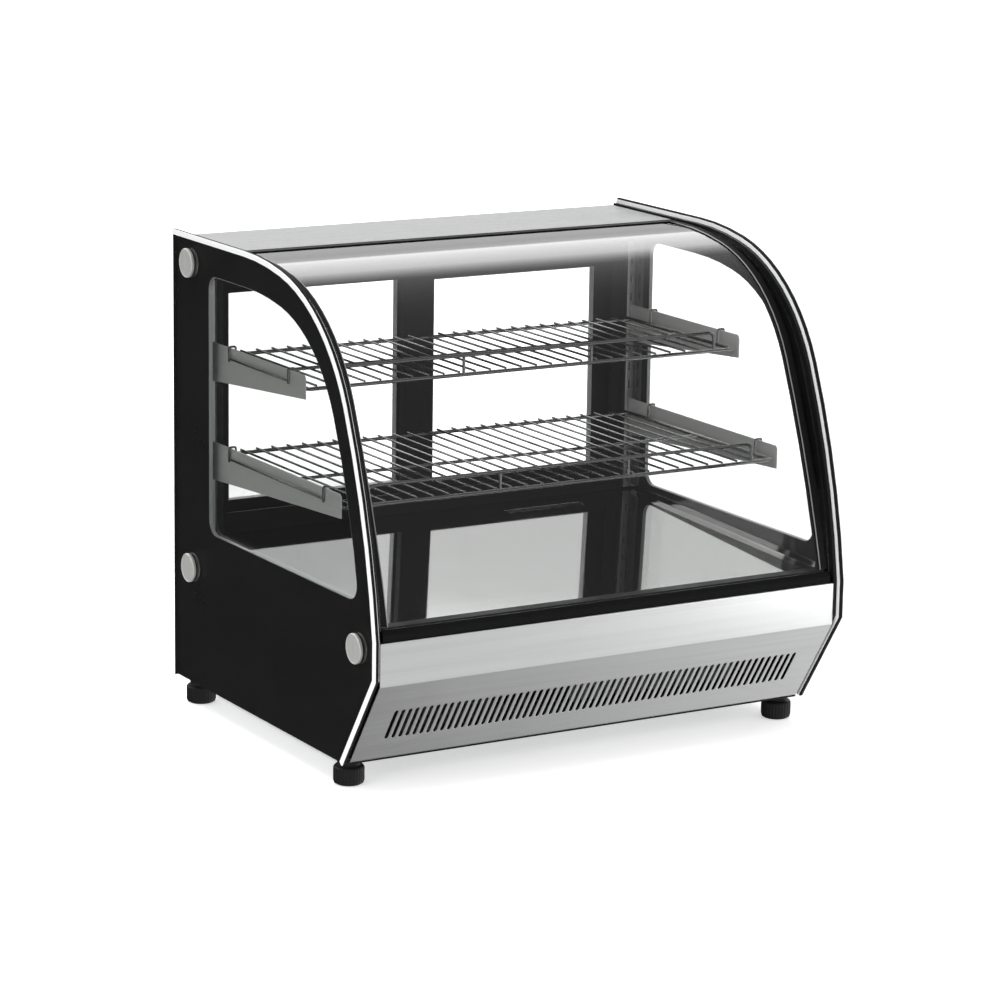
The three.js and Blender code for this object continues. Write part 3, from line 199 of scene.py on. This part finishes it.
def coated(name, colour, rough=0.4, texture=1400.0, strength=0.15, metallic=0.0, specular=0.5):
    """Painted, moulded or rubber surface with a fine texture and a little dust and rubbing."""
    n = Nodes(name)
    pebble = n.noise(n.place(), texture, 2.0)
    cloud = n.noise(n.place(), 11.0, 5.0, 0.62)
    tone = n.blend(cloud, shade(colour, 0.85), shade(colour, 1.18))
    return n.finish(n.add(
        "ShaderNodeBsdfPrincipled", Base_Color=tone, Metallic=metallic,
        Specular_IOR_Level=specular, Roughness=n.spread(cloud, rough * 0.85, rough * 1.2),
        Normal=n.bump(pebble, strength, 0.0001)))


def clear_glass(name, tint):
    """Thin clear glass. What is behind shows unbent, and the front face mirrors for both faces:
    with Fresnel's share F for one face, a pane mirrors 2F / (1 + F)."""
    n = Nodes(name)
    smear = n.noise(n.place((1, 1, 0.4)), 9.0, 5.0, 0.6)
    through = n.add("ShaderNodeBsdfTransparent", Color=(*tint, 1))
    mirror = n.add("ShaderNodeBsdfGlossy", Roughness=n.spread(smear, 0.008, 0.03))
    one_face = n.add("ShaderNodeFresnel", IOR=1.5).outputs[0]
    back = n.add("ShaderNodeNewGeometry").outputs["Backfacing"]
    pane = n.math("DIVIDE", n.math("MULTIPLY", one_face, 2.0), n.math("ADD", one_face, 1.0))
    share = n.math("MULTIPLY", pane, n.math("SUBTRACT", 1.0, back))
    mix = n.add("ShaderNodeMixShader", Fac=share)
    n.tree.links.new(through.outputs[0], mix.inputs[1])
    n.tree.links.new(mirror.outputs[0], mix.inputs[2])
    return n.finish(mix)


def frosted_lens(name):
    n = Nodes(name)
    ribs = n.noise(n.place((1, 300, 300)), 3.0, 2.0)     # ribs along X
    return n.finish(n.add(
        "ShaderNodeBsdfPrincipled", Base_Color=n.blend(ribs, (0.78, 0.79, 0.76), (0.9, 0.9, 0.87)),
        Roughness=n.spread(ribs, 0.3, 0.45), Normal=n.bump(ribs, 0.2)))


X, Y, Z = range(3)
MATERIALS = {
    "clear_glass": clear_glass("clear_glass", (0.990, 0.994, 0.992)),
    "black_panel": coated("black_panel", (0.006, 0.0062, 0.006), 0.32, 500.0, 0.03, specular=0.2),
    "bright_trim": brushed("bright_trim", (0.93, 0.935, 0.94), Y, 0.3, 0.4, 0.4, 0.15),
    "black_rubber": coated("black_rubber", (0.008, 0.008, 0.008), 0.6, 1800.0, 0.15, specular=0.15),
    "brushed_cap": brushed("brushed_cap", (0.62, 0.62, 0.60), Z, 0.36, 1.2, 1.0, 0.55),
    "aluminium": brushed("aluminium", (0.42, 0.42, 0.42), Z, 0.35),
    "black_frame": coated("black_frame", (0.006, 0.0063, 0.0063), 0.42, 900.0, 0.03, specular=0.07),
    "brushed_steel": brushed("brushed_steel", (0.64, 0.645, 0.645), X, 0.33),
    "mirror_steel": brushed("mirror_steel", (0.40, 0.40, 0.395), X, 0.035, 0.08, 0.5),
    "galvanised": coated("galvanised", (0.42, 0.44, 0.45), 0.4, 90.0, 0.1, 0.9),
    "chrome_wire": brushed("chrome_wire", (0.21, 0.21, 0.21), X, 0.13, 0.3, 0.6),
    "lamp_body": frosted_lens("lamp_body"),
    "coil_fins": brushed("coil_fins", (0.6, 0.61, 0.61), Z, 0.4, 1.5, 1.6),
    "black_plastic": coated("black_plastic", (0.014, 0.0145, 0.015), 0.45, 1500.0, 0.25),
    "black_paint": coated("black_paint", (0.012, 0.012, 0.012), 0.3, 120.0, 0.08),
    "insulation": coated("insulation", (0.8, 0.78, 0.7), 0.8, 600.0, 0.5),
    "grey_plastic": coated("grey_plastic", (0.03, 0.031, 0.033), 0.5, 1200.0, 0.25),
    "button_plastic": coated("button_plastic", (0.6, 0.6, 0.58), 0.45, 1500.0, 0.15),
    # darker copy of the brushed steel for the top panel: painted shade that dims the bright sky it mirrors
    "shaded_top_steel": brushed("shaded_top_steel", (0.36, 0.365, 0.365), X, 0.26),
    "bracket_steel": brushed("bracket_steel", (0.46, 0.46, 0.45), Y, 0.35, 1.0, 1.2, 0.3),
    "spacer": brushed("spacer", (0.30, 0.305, 0.305), Z, 0.3, 0.5, 0.5, 0.4),
    "foot_rubber": coated("foot_rubber", (0.007, 0.007, 0.007), 0.5, 1600.0, 0.25, specular=0.25),
}


# ---- modifiers that give a CAD node its broken edges and smooth curves --
def smoothing_group():
    """Geometry nodes that shade smooth all but the real edges."""
    group = bpy.data.node_groups.new("smooth_by_angle", "GeometryNodeTree")
    group.interface.new_socket("Geometry", in_out="INPUT", socket_type="NodeSocketGeometry")
    group.interface.new_socket("Geometry", in_out="OUTPUT", socket_type="NodeSocketGeometry")
    node = group.nodes.new
    start, end = node("NodeGroupInput"), node("NodeGroupOutput")
    faces, edges = node("GeometryNodeSetShadeSmooth"), node("GeometryNodeSetShadeSmooth")
    faces.domain, edges.domain = "FACE", "EDGE"
    edges.inputs["Shade Smooth"].default_value = False
    angle, sharp = node("GeometryNodeInputMeshEdgeAngle"), node("FunctionNodeCompare")
    sharp.data_type, sharp.operation = "FLOAT", "GREATER_THAN"
    sharp.inputs["B"].default_value = SMOOTH_ANGLE
    link = group.links.new
    link(start.outputs[0], faces.inputs["Geometry"])
    link(faces.outputs[0], edges.inputs["Geometry"])
    link(angle.outputs[0], sharp.inputs["A"])
    link(sharp.outputs[0], edges.inputs["Selection"])
    link(edges.outputs[0], end.inputs[0])
    return group


SMOOTHING = smoothing_group()


def refine(piece, edge=EDGE_BREAK):
    """Adds modifiers: joined facets, broken edges, and smooth shading across the curves."""
    weld = piece.modifiers.new("weld", "WELD")
    weld.merge_threshold = 1e-5
    if edge:
        bevel = piece.modifiers.new("edges", "BEVEL")
        bevel.width, bevel.segments = edge, 2
        bevel.limit_method, bevel.angle_limit = "ANGLE", SMOOTH_ANGLE
        bevel.use_clamp_overlap = True
    smooth = piece.modifiers.new("smooth", "NODES")
    smooth.node_group = SMOOTHING
    normals = piece.modifiers.new("normals", "WEIGHTED_NORMAL")
    normals.keep_sharp = True


def finish_cad_nodes():
    """Materials by slot; the top panel gets a darker copy of the brushed steel as painted shade, and the
    shelf brackets a look of their own.
    """
    slots = {part["node"]: part["material_slot"] for part in frame["record"]["subparts"]}
    edges = {"clear_glass": THIN_EDGE, "coil_fins": 0}
    # painted shade: the top panel's darker copy of the brushed steel
    own = {"top_panel": "shaded_top_steel"}
    own.update({name: "bracket_steel" for name in NODES if name.startswith("bracket_")})
    for name, node in NODES.items():
        for material_slot in node.material_slots:
            material_slot.material = MATERIALS[own.get(name, slots[name])]
        refine(node, edges.get(slots[name], EDGE_BREAK))
        node.visible_glossy = not name.startswith("bracket_")


# ---- mesh helpers -------------------------------------------------------
def new_piece(name, mesh_data, body, slot, *replaced, look=None):
    """A piece that rides on the body and stands for the replaced nodes. A look differs from its slot."""
    mesh = bpy.data.meshes.new(name)
    mesh_data.to_mesh(mesh)
    mesh_data.free()
    mesh.materials.append(MATERIALS[look or slot])
    piece = bpy.data.objects.new(name, mesh)
    bpy.context.scene.collection.objects.link(piece)
    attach(piece, body)
    if replaced:
        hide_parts(*replaced)
    return piece


def add_wire(mesh, points, radius, sides=10):
    """Round wire through the points, with domed ends."""
    points = [Vector(p) for p in points]
    first = (points[1] - points[0]).normalized()
    last = (points[-1] - points[-2]).normalized()
    dome = [(0.0, 0.40), (0.22, 0.80), (0.70, 1.0)]       # depth and width, in radii
    rows = [(points[0] + first * radius * depth, first, width) for depth, width in dome]
    for before, point, after in zip(points, points[1:], points[2:]):
        rows.append((point, (after - before).normalized(), 1.0))
    rows += [(points[-1] - last * radius * depth, last, width) for depth, width in reversed(dome)]
    normal = first.orthogonal().normalized()
    rings = []
    for centre, ahead, width in rows:
        normal = (normal - ahead * normal.dot(ahead)).normalized()
        other = ahead.cross(normal)
        ring = []
        for k in range(sides):
            a = 2 * math.pi * k / sides
            outward = normal * math.cos(a) + other * math.sin(a)
            ring.append(mesh.verts.new(centre + outward * radius * width))
        rings.append(ring)
    for a, b in zip(rings, rings[1:]):
        for k in range(sides):
            mesh.faces.new([a[k], a[(k + 1) % sides], b[(k + 1) % sides], b[k]])
    mesh.faces.new(list(reversed(rings[0])))
    mesh.faces.new(rings[-1])
    return mesh


def bend(a, corner, b, radius, steps=5):
    """Points that turn from a to b round the corner, on an arc-like curve."""
    a, corner, b = Vector(a), Vector(corner), Vector(b)
    start = corner + (a - corner).normalized() * radius
    end = corner + (b - corner).normalized() * radius
    out = []
    for i in range(steps + 1):
        t = i / steps
        out.append(start * (1 - t) ** 2 + corner * 2 * t * (1 - t) + end * t ** 2)
    return out


def near_and_far(node):
    """The x of a side piece's inner and outer face."""
    return sorted((corner.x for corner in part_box(node)), key=abs)


# ---- wire shelves -------------------------------------------------------
def build_shelf(which):
    """Frame, cross wires, front rail, and hooks that hold the shelf over its brackets."""
    low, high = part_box(f"shelf_{which}")
    bracket_low, bracket_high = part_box(f"bracket_{which}_right")
    half = bracket_low.x - SHELF_GAP - SHELF_FRAME_WIRE / 2
    out = bracket_high.x + HOOK_OUT
    r, w = SHELF_FRAME_WIRE / 2, SHELF_CROSS_WIRE / 2
    front = low.y + r
    rear = high.y - r
    z = low.z + r + SHELF_LIFT
    rail = z + RAIL_RISE
    mesh = bmesh.new()
    for y in (rear, front):
        add_wire(mesh, [(-half, y, z), (half, y, z)], r)
    middle = (rear + front) / 2
    add_wire(mesh, [(-half, middle, z), (half, middle, z)], r * THIN_FRAME)
    pitch = 2 * (half - END_SPACE) / (SHELF_WIRES - 1)
    for i in range(SHELF_WIRES):
        x = -half + END_SPACE + i * pitch
        add_wire(mesh, [(x, front - r, z + r + w), (x, rear + r, z + r + w)], w, 8)
    top = half - RAIL_INSET
    ends = [Vector((-top, front, z)), Vector((top, front, z))]
    corners = [Vector((-top, front, rail)), Vector((top, front, rail))]
    path = [ends[0]] + bend(ends[0], corners[0], corners[1], RAIL_BEND)
    path += bend(corners[0], corners[1], ends[1], RAIL_BEND) + [ends[1]]
    add_wire(mesh, path, r * RAIL_PART)
    for i in range(1, RAIL_POSTS - 1):
        x = -top + 2 * top * i / (RAIL_POSTS - 1)
        add_wire(mesh, [(x, front, z), (x, front, rail)], r * POST_PART)
    over = bracket_high.z + HOOK_OVER
    tie = bracket_high.z - HOOK_TIE
    hooks = (rear - HOOK_REAR, front + HOOK_FRONT)
    for hand in SIDES.values():
        add_wire(mesh, [(hand * half, rear, z), (hand * half, front, z)], r)
        for y in hooks:
            inside = Vector((hand * half, y, z))
            corner = Vector((hand * half, y, over))
            outer = Vector((hand * out, y, over))
            foot = Vector((hand * out, y, tie - HOOK_TAIL))
            path = [inside] + bend(inside, corner, outer, HOOK_BEND_IN)
            path += bend(corner, outer, foot, HOOK_BEND_OUT) + [foot]
            add_wire(mesh, path, HOOK_WIRE / 2, 8)
        add_wire(mesh, [(hand * out, y, tie) for y in hooks], HOOK_WIRE / 2 * TIE_PART, 8)
    bmesh.ops.recalc_face_normals(mesh, faces=mesh.faces)
    piece = new_piece(f"wire_shelf_{which}", mesh, f"{which}_shelf", "chrome_wire", f"shelf_{which}")
    piece.data.shade_smooth()
    piece.visible_glossy = False


# ---- turned pieces: feet and caps ---------------------------------------
def turned(profile, sides, wave=None):
    """Closed solid of a profile in (radius, height), turned about Z.

    wave(angle, radius, height) gives a corner's own radius."""
    mesh = bmesh.new()
    rings = []
    for radius, height in profile:
        ring = []
        for k in range(sides):
            a = 2 * math.pi * k / sides
            r = wave(a, radius, height) if wave else radius
            ring.append(mesh.verts.new((r * math.cos(a), r * math.sin(a), height)))
        rings.append(ring)
    for a, b in zip(rings, rings[1:]):
        for k in range(sides):
            mesh.faces.new([a[k], a[(k + 1) % sides], b[(k + 1) % sides], b[k]])
    mesh.faces.new(list(reversed(rings[0])))
    mesh.faces.new(rings[-1])
    return mesh


def build_foot(where):
    node = f"foot_{where}"
    low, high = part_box(node)
    centre = (low + high) / 2
    r = (high.x - low.x) / 2
    shank = high.z - FOOT_STUD
    neck = r * FOOT_NECK
    flute_high = low.z + (shank - low.z) * FOOT_BARREL

    def flutes(angle, radius, height):
        if radius < r * 0.9 or not FLUTE_FOOT <= height <= flute_high:
            return radius
        return radius - FLUTE_DEPTH * (0.5 + 0.5 * math.cos(FOOT_FLUTES * angle))

    profile = [
        (r - 0.0060, 0.0), (r - 0.0040, 0.0004), (r - 0.0012, 0.0020), (r - 0.0004, 0.0045),
        (r, 0.0055), (r, flute_high * 0.5), (r, flute_high - 0.0004),
        (r - 0.0005, flute_high + 0.0010), (r - 0.0016, flute_high + 0.0024),
        (neck + 0.0008, flute_high + 0.0030), (neck, flute_high + 0.0040),
        (neck, shank - 0.0010), (neck - 0.0012, shank), (0.0042, shank), (0.0040, high.z),
    ]
    mesh = turned(profile, FOOT_FLUTES * 6, flutes)
    bmesh.ops.translate(mesh, verts=mesh.verts, vec=(centre.x, centre.y, low.z))
    piece = new_piece(f"rubber_{node}", mesh, f"{where}_foot", "foot_rubber", node)
    refine(piece, 0)


def build_cap(place, side):
    node = f"cap_{place}_{side}"
    low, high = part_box(node)
    centre = (low + high) / 2
    hand = SIDES[side]
    r = (high.z - low.z) / 2
    seat, face = (abs(x) for x in near_and_far(node))
    glass = abs(near_and_far(f"side_glass_{side}")[1])
    thick = face - glass
    profile = [
        (0.0050, seat - glass), (0.0050, 0.0003), (r - 0.0016, 0.0003), (r - 0.0016, 0.0010),
        (r - 0.0003, 0.0012), (r, 0.0017), (r, thick - 0.0011), (r - 0.0003, thick - 0.0005),
        (r - 0.0011, thick), (r - 0.0017, thick - 0.0001), (r - 0.0021, thick - 0.0005),
        (r * 0.5, thick - 0.0005), (0.001, thick - 0.0005),
    ]
    mesh = turned(profile, 96)
    turn = Matrix.Rotation(math.radians(90) * hand, 4, "Y")
    shift = Matrix.Translation((hand * glass, centre.y, centre.z))
    bmesh.ops.transform(mesh, matrix=shift @ turn, verts=mesh.verts)
    piece = new_piece(f"disc_{place}_{side}", mesh, "case", "brushed_cap", node)
    refine(piece, 0)


# ---- spacer bars in the side windows, gaskets in the doors, painted shadow strip -----
def window_loop(node):
    """Ordered points (y, z) of the largest hole in a side plate's inner face."""
    mesh = bmesh.new()
    mesh.from_mesh(NODES[node].data)
    bmesh.ops.remove_doubles(mesh, verts=mesh.verts, dist=1e-5)
    inner = near_and_far(node)[0]
    flat = {f for f in mesh.faces
            if abs(f.normal.x) > 0.9 and abs(f.calc_center_median().x - inner) < SAME_PLACE}
    rim = [e for e in mesh.edges if sum(f in flat for f in e.link_faces) == 1]
    loops = []
    while rim:
        edge = rim.pop()
        loop = [edge.verts[0], edge.verts[1]]
        found = True
        while found:
            found = next((e for e in rim if loop[-1] in e.verts), None)
            if found:
                rim.remove(found)
                loop.append(found.other_vert(loop[-1]))
        loops.append([(v.co.y, v.co.z) for v in loop[:-1]])
    mesh.free()
    by_length = sorted(loops, key=lambda loop: max(p[0] for p in loop) - min(p[0] for p in loop))
    return by_length[-2]      # the longest is the plate's own outline


def strip_inside(loop, depth, low, high, axis):
    """Closed band just inside a loop of (u, v) points, from low to high along axis."""
    area = sum(a[0] * b[1] - b[0] * a[1] for a, b in zip(loop, loop[1:] + loop[:1]))
    if area < 0:
        loop = loop[::-1]
    inner = []
    for i, point in enumerate(loop):
        a, b = Vector(loop[i - 1]), Vector(loop[(i + 1) % len(loop)])
        here = Vector(point)
        one, two = (here - a).normalized(), (b - here).normalized()
        side = Vector((-one.y, one.x)) + Vector((-two.y, two.x))
        inner.append(here + side * depth / (1 + one.dot(two)))
    mesh = bmesh.new()
    rings = []
    for points, place in ((loop, low), (loop, high), (inner, high), (inner, low)):
        ring = []
        for u, v in points:
            co = [u, v]
            co.insert(axis, place)
            ring.append(mesh.verts.new(co))
        rings.append(ring)
    for a, b in zip(rings, rings[1:] + rings[:1]):
        for k in range(len(loop)):
            mesh.faces.new([a[k], a[(k + 1) % len(loop)], b[(k + 1) % len(loop)], b[k]])
    bmesh.ops.recalc_face_normals(mesh, faces=mesh.faces)
    return mesh


def build_linings():
    """A spacer bar between the panes of each side window, and a gasket round each door window."""
    for side, hand in SIDES.items():
        inner = near_and_far(f"side_frame_{side}")[0] + hand * 1e-4
        outer = near_and_far(f"side_glass_{side}")[0] - hand * 5e-4
        loop = window_loop(f"side_frame_{side}")
        band = strip_inside(loop, SPACER_DEPTH, min(inner, outer), max(inner, outer), X)
        refine(new_piece(f"spacer_bar_{side}", band, "case", "aluminium", look="spacer"), THIN_EDGE)
        low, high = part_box(f"door_frame_{side}")
        left, right = low.x + DOOR_STILE, high.x - DOOR_STILE
        foot, head = low.z + DOOR_RAIL_LOW, high.z - DOOR_RAIL_TOP
        hole = [(left, foot), (right, foot), (right, head), (left, head)]
        band = strip_inside(hole, SPACER_DEPTH, low.y + EDGE_BREAK, high.y - EDGE_BREAK, Y)
        refine(new_piece(f"door_gasket_{side}", band, f"door_{side}", "aluminium", look="spacer"),
               THIN_EDGE)


def build_seal_beads():
    """Bright bead along the inner edge of each side of the front seal."""
    corners = [v.co for v in NODES["glass_seal"].data.vertices]
    opening = min(abs(co.x) for co in corners if co.z > BEAD_ABOVE and co.y < BEAD_BEFORE)
    for side, hand in SIDES.items():
        rim = [Vector((co.y, co.z)) for co in corners if abs(co.x - hand * opening) < SAME_PLACE]
        hull = [rim[i] for i in geometry.convex_hull_2d(rim)]
        lowest = min(p.y for p in rim)
        rear, foot = max(hull, key=lambda p: p.x), min(hull, key=lambda p: p.y)
        outside = [p for p in hull if (p - foot).cross(rear - foot) < 0]
        face = {(round(p.x, 5), round(p.y, 5)) for p in outside if p.y > lowest + BEAD}
        points = [(hand * (opening + BEAD), y + BEAD * 0.2, z - BEAD * 0.2)
                  for y, z in sorted(face, key=lambda p: -p[1])]
        mesh = add_wire(bmesh.new(), points, BEAD, 8)
        new_piece(f"seal_bead_{side}", mesh, "case", "aluminium", look="spacer").data.shade_smooth()


def build_painted_fascia_shadow():
    """Black strip along the bottom of the front: painted shade that stands in for the shadow line under the
    front's edge.
    """
    low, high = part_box("front_fascia")
    node = NODES["front_fascia"]
    corners = [node.matrix_world @ v.co for v in node.data.vertices]
    y = min(p.y for p in corners if p.z < low.z + SAME_PLACE)
    # a black rubber strip as painted shade, where the front's bottom edge lies in shadow
    mesh = add_wire(bmesh.new(), [(low.x, y, low.z), (high.x, y, low.z)], SHADOW_STRIP_RADIUS)
    new_piece("fascia_shadow_strip", mesh, "case", "black_rubber").data.shade_smooth()


# ---- stage, light and camera --------------------------------------------
def build_stage():
    """A pale round floor that glows a little, so that the shadow on it stays faint."""
    mesh = bmesh.new()
    bmesh.ops.create_circle(mesh, cap_ends=True, radius=1.5, segments=96)
    data = bpy.data.meshes.new("floor")
    mesh.to_mesh(data)
    mesh.free()
    floor = bpy.data.objects.new("floor", data)
    bpy.context.scene.collection.objects.link(floor)
    n = Nodes("floor_white")
    cloud = n.noise(n.place(), 3.0)
    tone = n.blend(cloud, (0.93, 0.93, 0.93), (0.95, 0.95, 0.95))
    data.materials.append(n.finish(n.add(
        "ShaderNodeBsdfPrincipled", Base_Color=tone, Roughness=0.9, Emission_Color=(1, 1, 1, 1),
        Emission_Strength=0.5)))
    floor.visible_glossy = False


def build_world():
    """White to the camera. In reflections, a studio whose tones follow the direction."""
    world = bpy.data.worlds.new("studio")
    bpy.context.scene.world = world
    world.use_nodes = True
    tree = world.node_tree
    tree.nodes.clear()
    node, link = tree.nodes.new, tree.links.new

    def rescale(value, span):
        shaper = node("ShaderNodeMapRange")
        for key, socket_value in zip(("Value", "From Min", "From Max"), (value, *span)):
            feed(tree, shaper.inputs[key], socket_value)
        return shaper.outputs[0]

    def ramp(value, stops):
        shaper = node("ShaderNodeValToRGB")
        marks = shaper.color_ramp.elements
        while len(marks) < len(stops):
            marks.new(0.5)
        for mark, (position, tone) in zip(marks, stops):
            mark.position, mark.color = position, (tone, tone, tone, 1)
        link(value, shaper.inputs[0])
        return shaper.outputs[0]

    coords, split = node("ShaderNodeTexCoord"), node("ShaderNodeSeparateXYZ")
    link(coords.outputs["Generated"], split.inputs[0])
    behind = ramp(split.outputs["Z"], REAR_TONES)
    before = ramp(split.outputs["Z"], FRONT_TONES)
    depth = rescale(split.outputs["Y"], (-1, 1))
    left, right = ramp(depth, LEFT_GROUND), ramp(depth, RIGHT_GROUND)

    def cross(axis, span, low, high):
        mixer = node("ShaderNodeMix")
        mixer.data_type = "RGBA"
        link(rescale(split.outputs[axis], span), mixer.inputs["Factor"])
        link(low, mixer.inputs[6])
        link(high, mixer.inputs[7])
        return mixer.outputs[2]

    ground = cross("X", GROUND_CROSS, left, right)
    sky = cross("Y", SKY_CROSS, before, behind)
    studio, white = node("ShaderNodeBackground"), node("ShaderNodeBackground")
    studio.inputs["Strength"].default_value = SKY_STRENGTH
    white.inputs["Color"].default_value = (1, 1, 1, 1)
    white.inputs["Strength"].default_value = WHITE_STRENGTH
    path, mix = node("ShaderNodeLightPath"), node("ShaderNodeMixShader")
    out = node("ShaderNodeOutputWorld")
    link(cross("Z", HORIZON, ground, sky), studio.inputs["Color"])
    link(path.outputs["Is Camera Ray"], mix.inputs[0])
    link(studio.outputs[0], mix.inputs[1])
    link(white.outputs[0], mix.inputs[2])
    link(mix.outputs[0], out.inputs["Surface"])


def add_light(name, place, size, power, target=(0, 0, 0.3), only=None):
    """A soft light that nothing mirrors, or one that lights and shows in a single CAD node."""
    light = bpy.data.lights.new(name, "AREA")
    light.shape = "RECTANGLE"
    light.size, light.size_y = size
    light.energy = power
    holder = bpy.data.objects.new(name, light)
    bpy.context.scene.collection.objects.link(holder)
    holder.location = place
    holder.visible_camera = False
    holder.visible_glossy = bool(only)
    if only:
        lit = bpy.data.collections.new(name)
        lit.objects.link(NODES[only])
        holder.light_linking.receiver_collection = lit
    aim = Vector(target) - Vector(place)
    holder.rotation_euler = aim.to_track_quat("-Z", "Y").to_euler()


def build_lights():
    add_light("overhead", (0, 0.3, 2.6), (3.0, 3.0), 60)
    add_light("front_fill", (1.2, -2.6, 1.6), (2.0, 1.2), 26)
    add_light("left_fill", (-2.6, -1.0, 0.9), (1.6, 1.6), 26)
    add_light("fascia_glow", (1.05, -1.0, 0.10), (0.7, 0.16), 2.5, (0.3, -0.25, 0.1), "front_fascia")


def build_camera():
    yaw, pitch, roll = (math.radians(v) for v in (CAMERA_YAW, CAMERA_PITCH, CAMERA_ROLL))
    across = math.cos(pitch)
    ahead = Vector((math.sin(yaw) * across, math.cos(yaw) * across, -math.sin(pitch)))
    level = Vector((math.cos(yaw), -math.sin(yaw), 0))
    above = level.cross(ahead)
    right = level * math.cos(roll) + above * math.sin(roll)
    up = above * math.cos(roll) - level * math.sin(roll)
    turn = Matrix((right, up, -ahead)).transposed().to_4x4()
    data = bpy.data.cameras.new("camera")
    data.lens, data.sensor_width = CAMERA_LENS, CAMERA_SENSOR
    camera = bpy.data.objects.new("camera", data)
    camera.matrix_world = Matrix.Translation(CAMERA_PLACE) @ turn
    bpy.context.scene.collection.objects.link(camera)
    bpy.context.scene.camera = camera


build_camera()
build_world()
build_lights()
build_stage()
finish_cad_nodes()
for which in ("upper", "lower"):
    build_shelf(which)
for where in ("front_left", "front_right", "rear_left", "rear_right"):
    build_foot(where)
for side in SIDES:
    for place in ("top", "rear", "front"):
        build_cap(place, side)
build_linings()
build_seal_beads()
build_painted_fascia_shadow()
bpy.context.scene.view_settings.view_transform = "Standard"
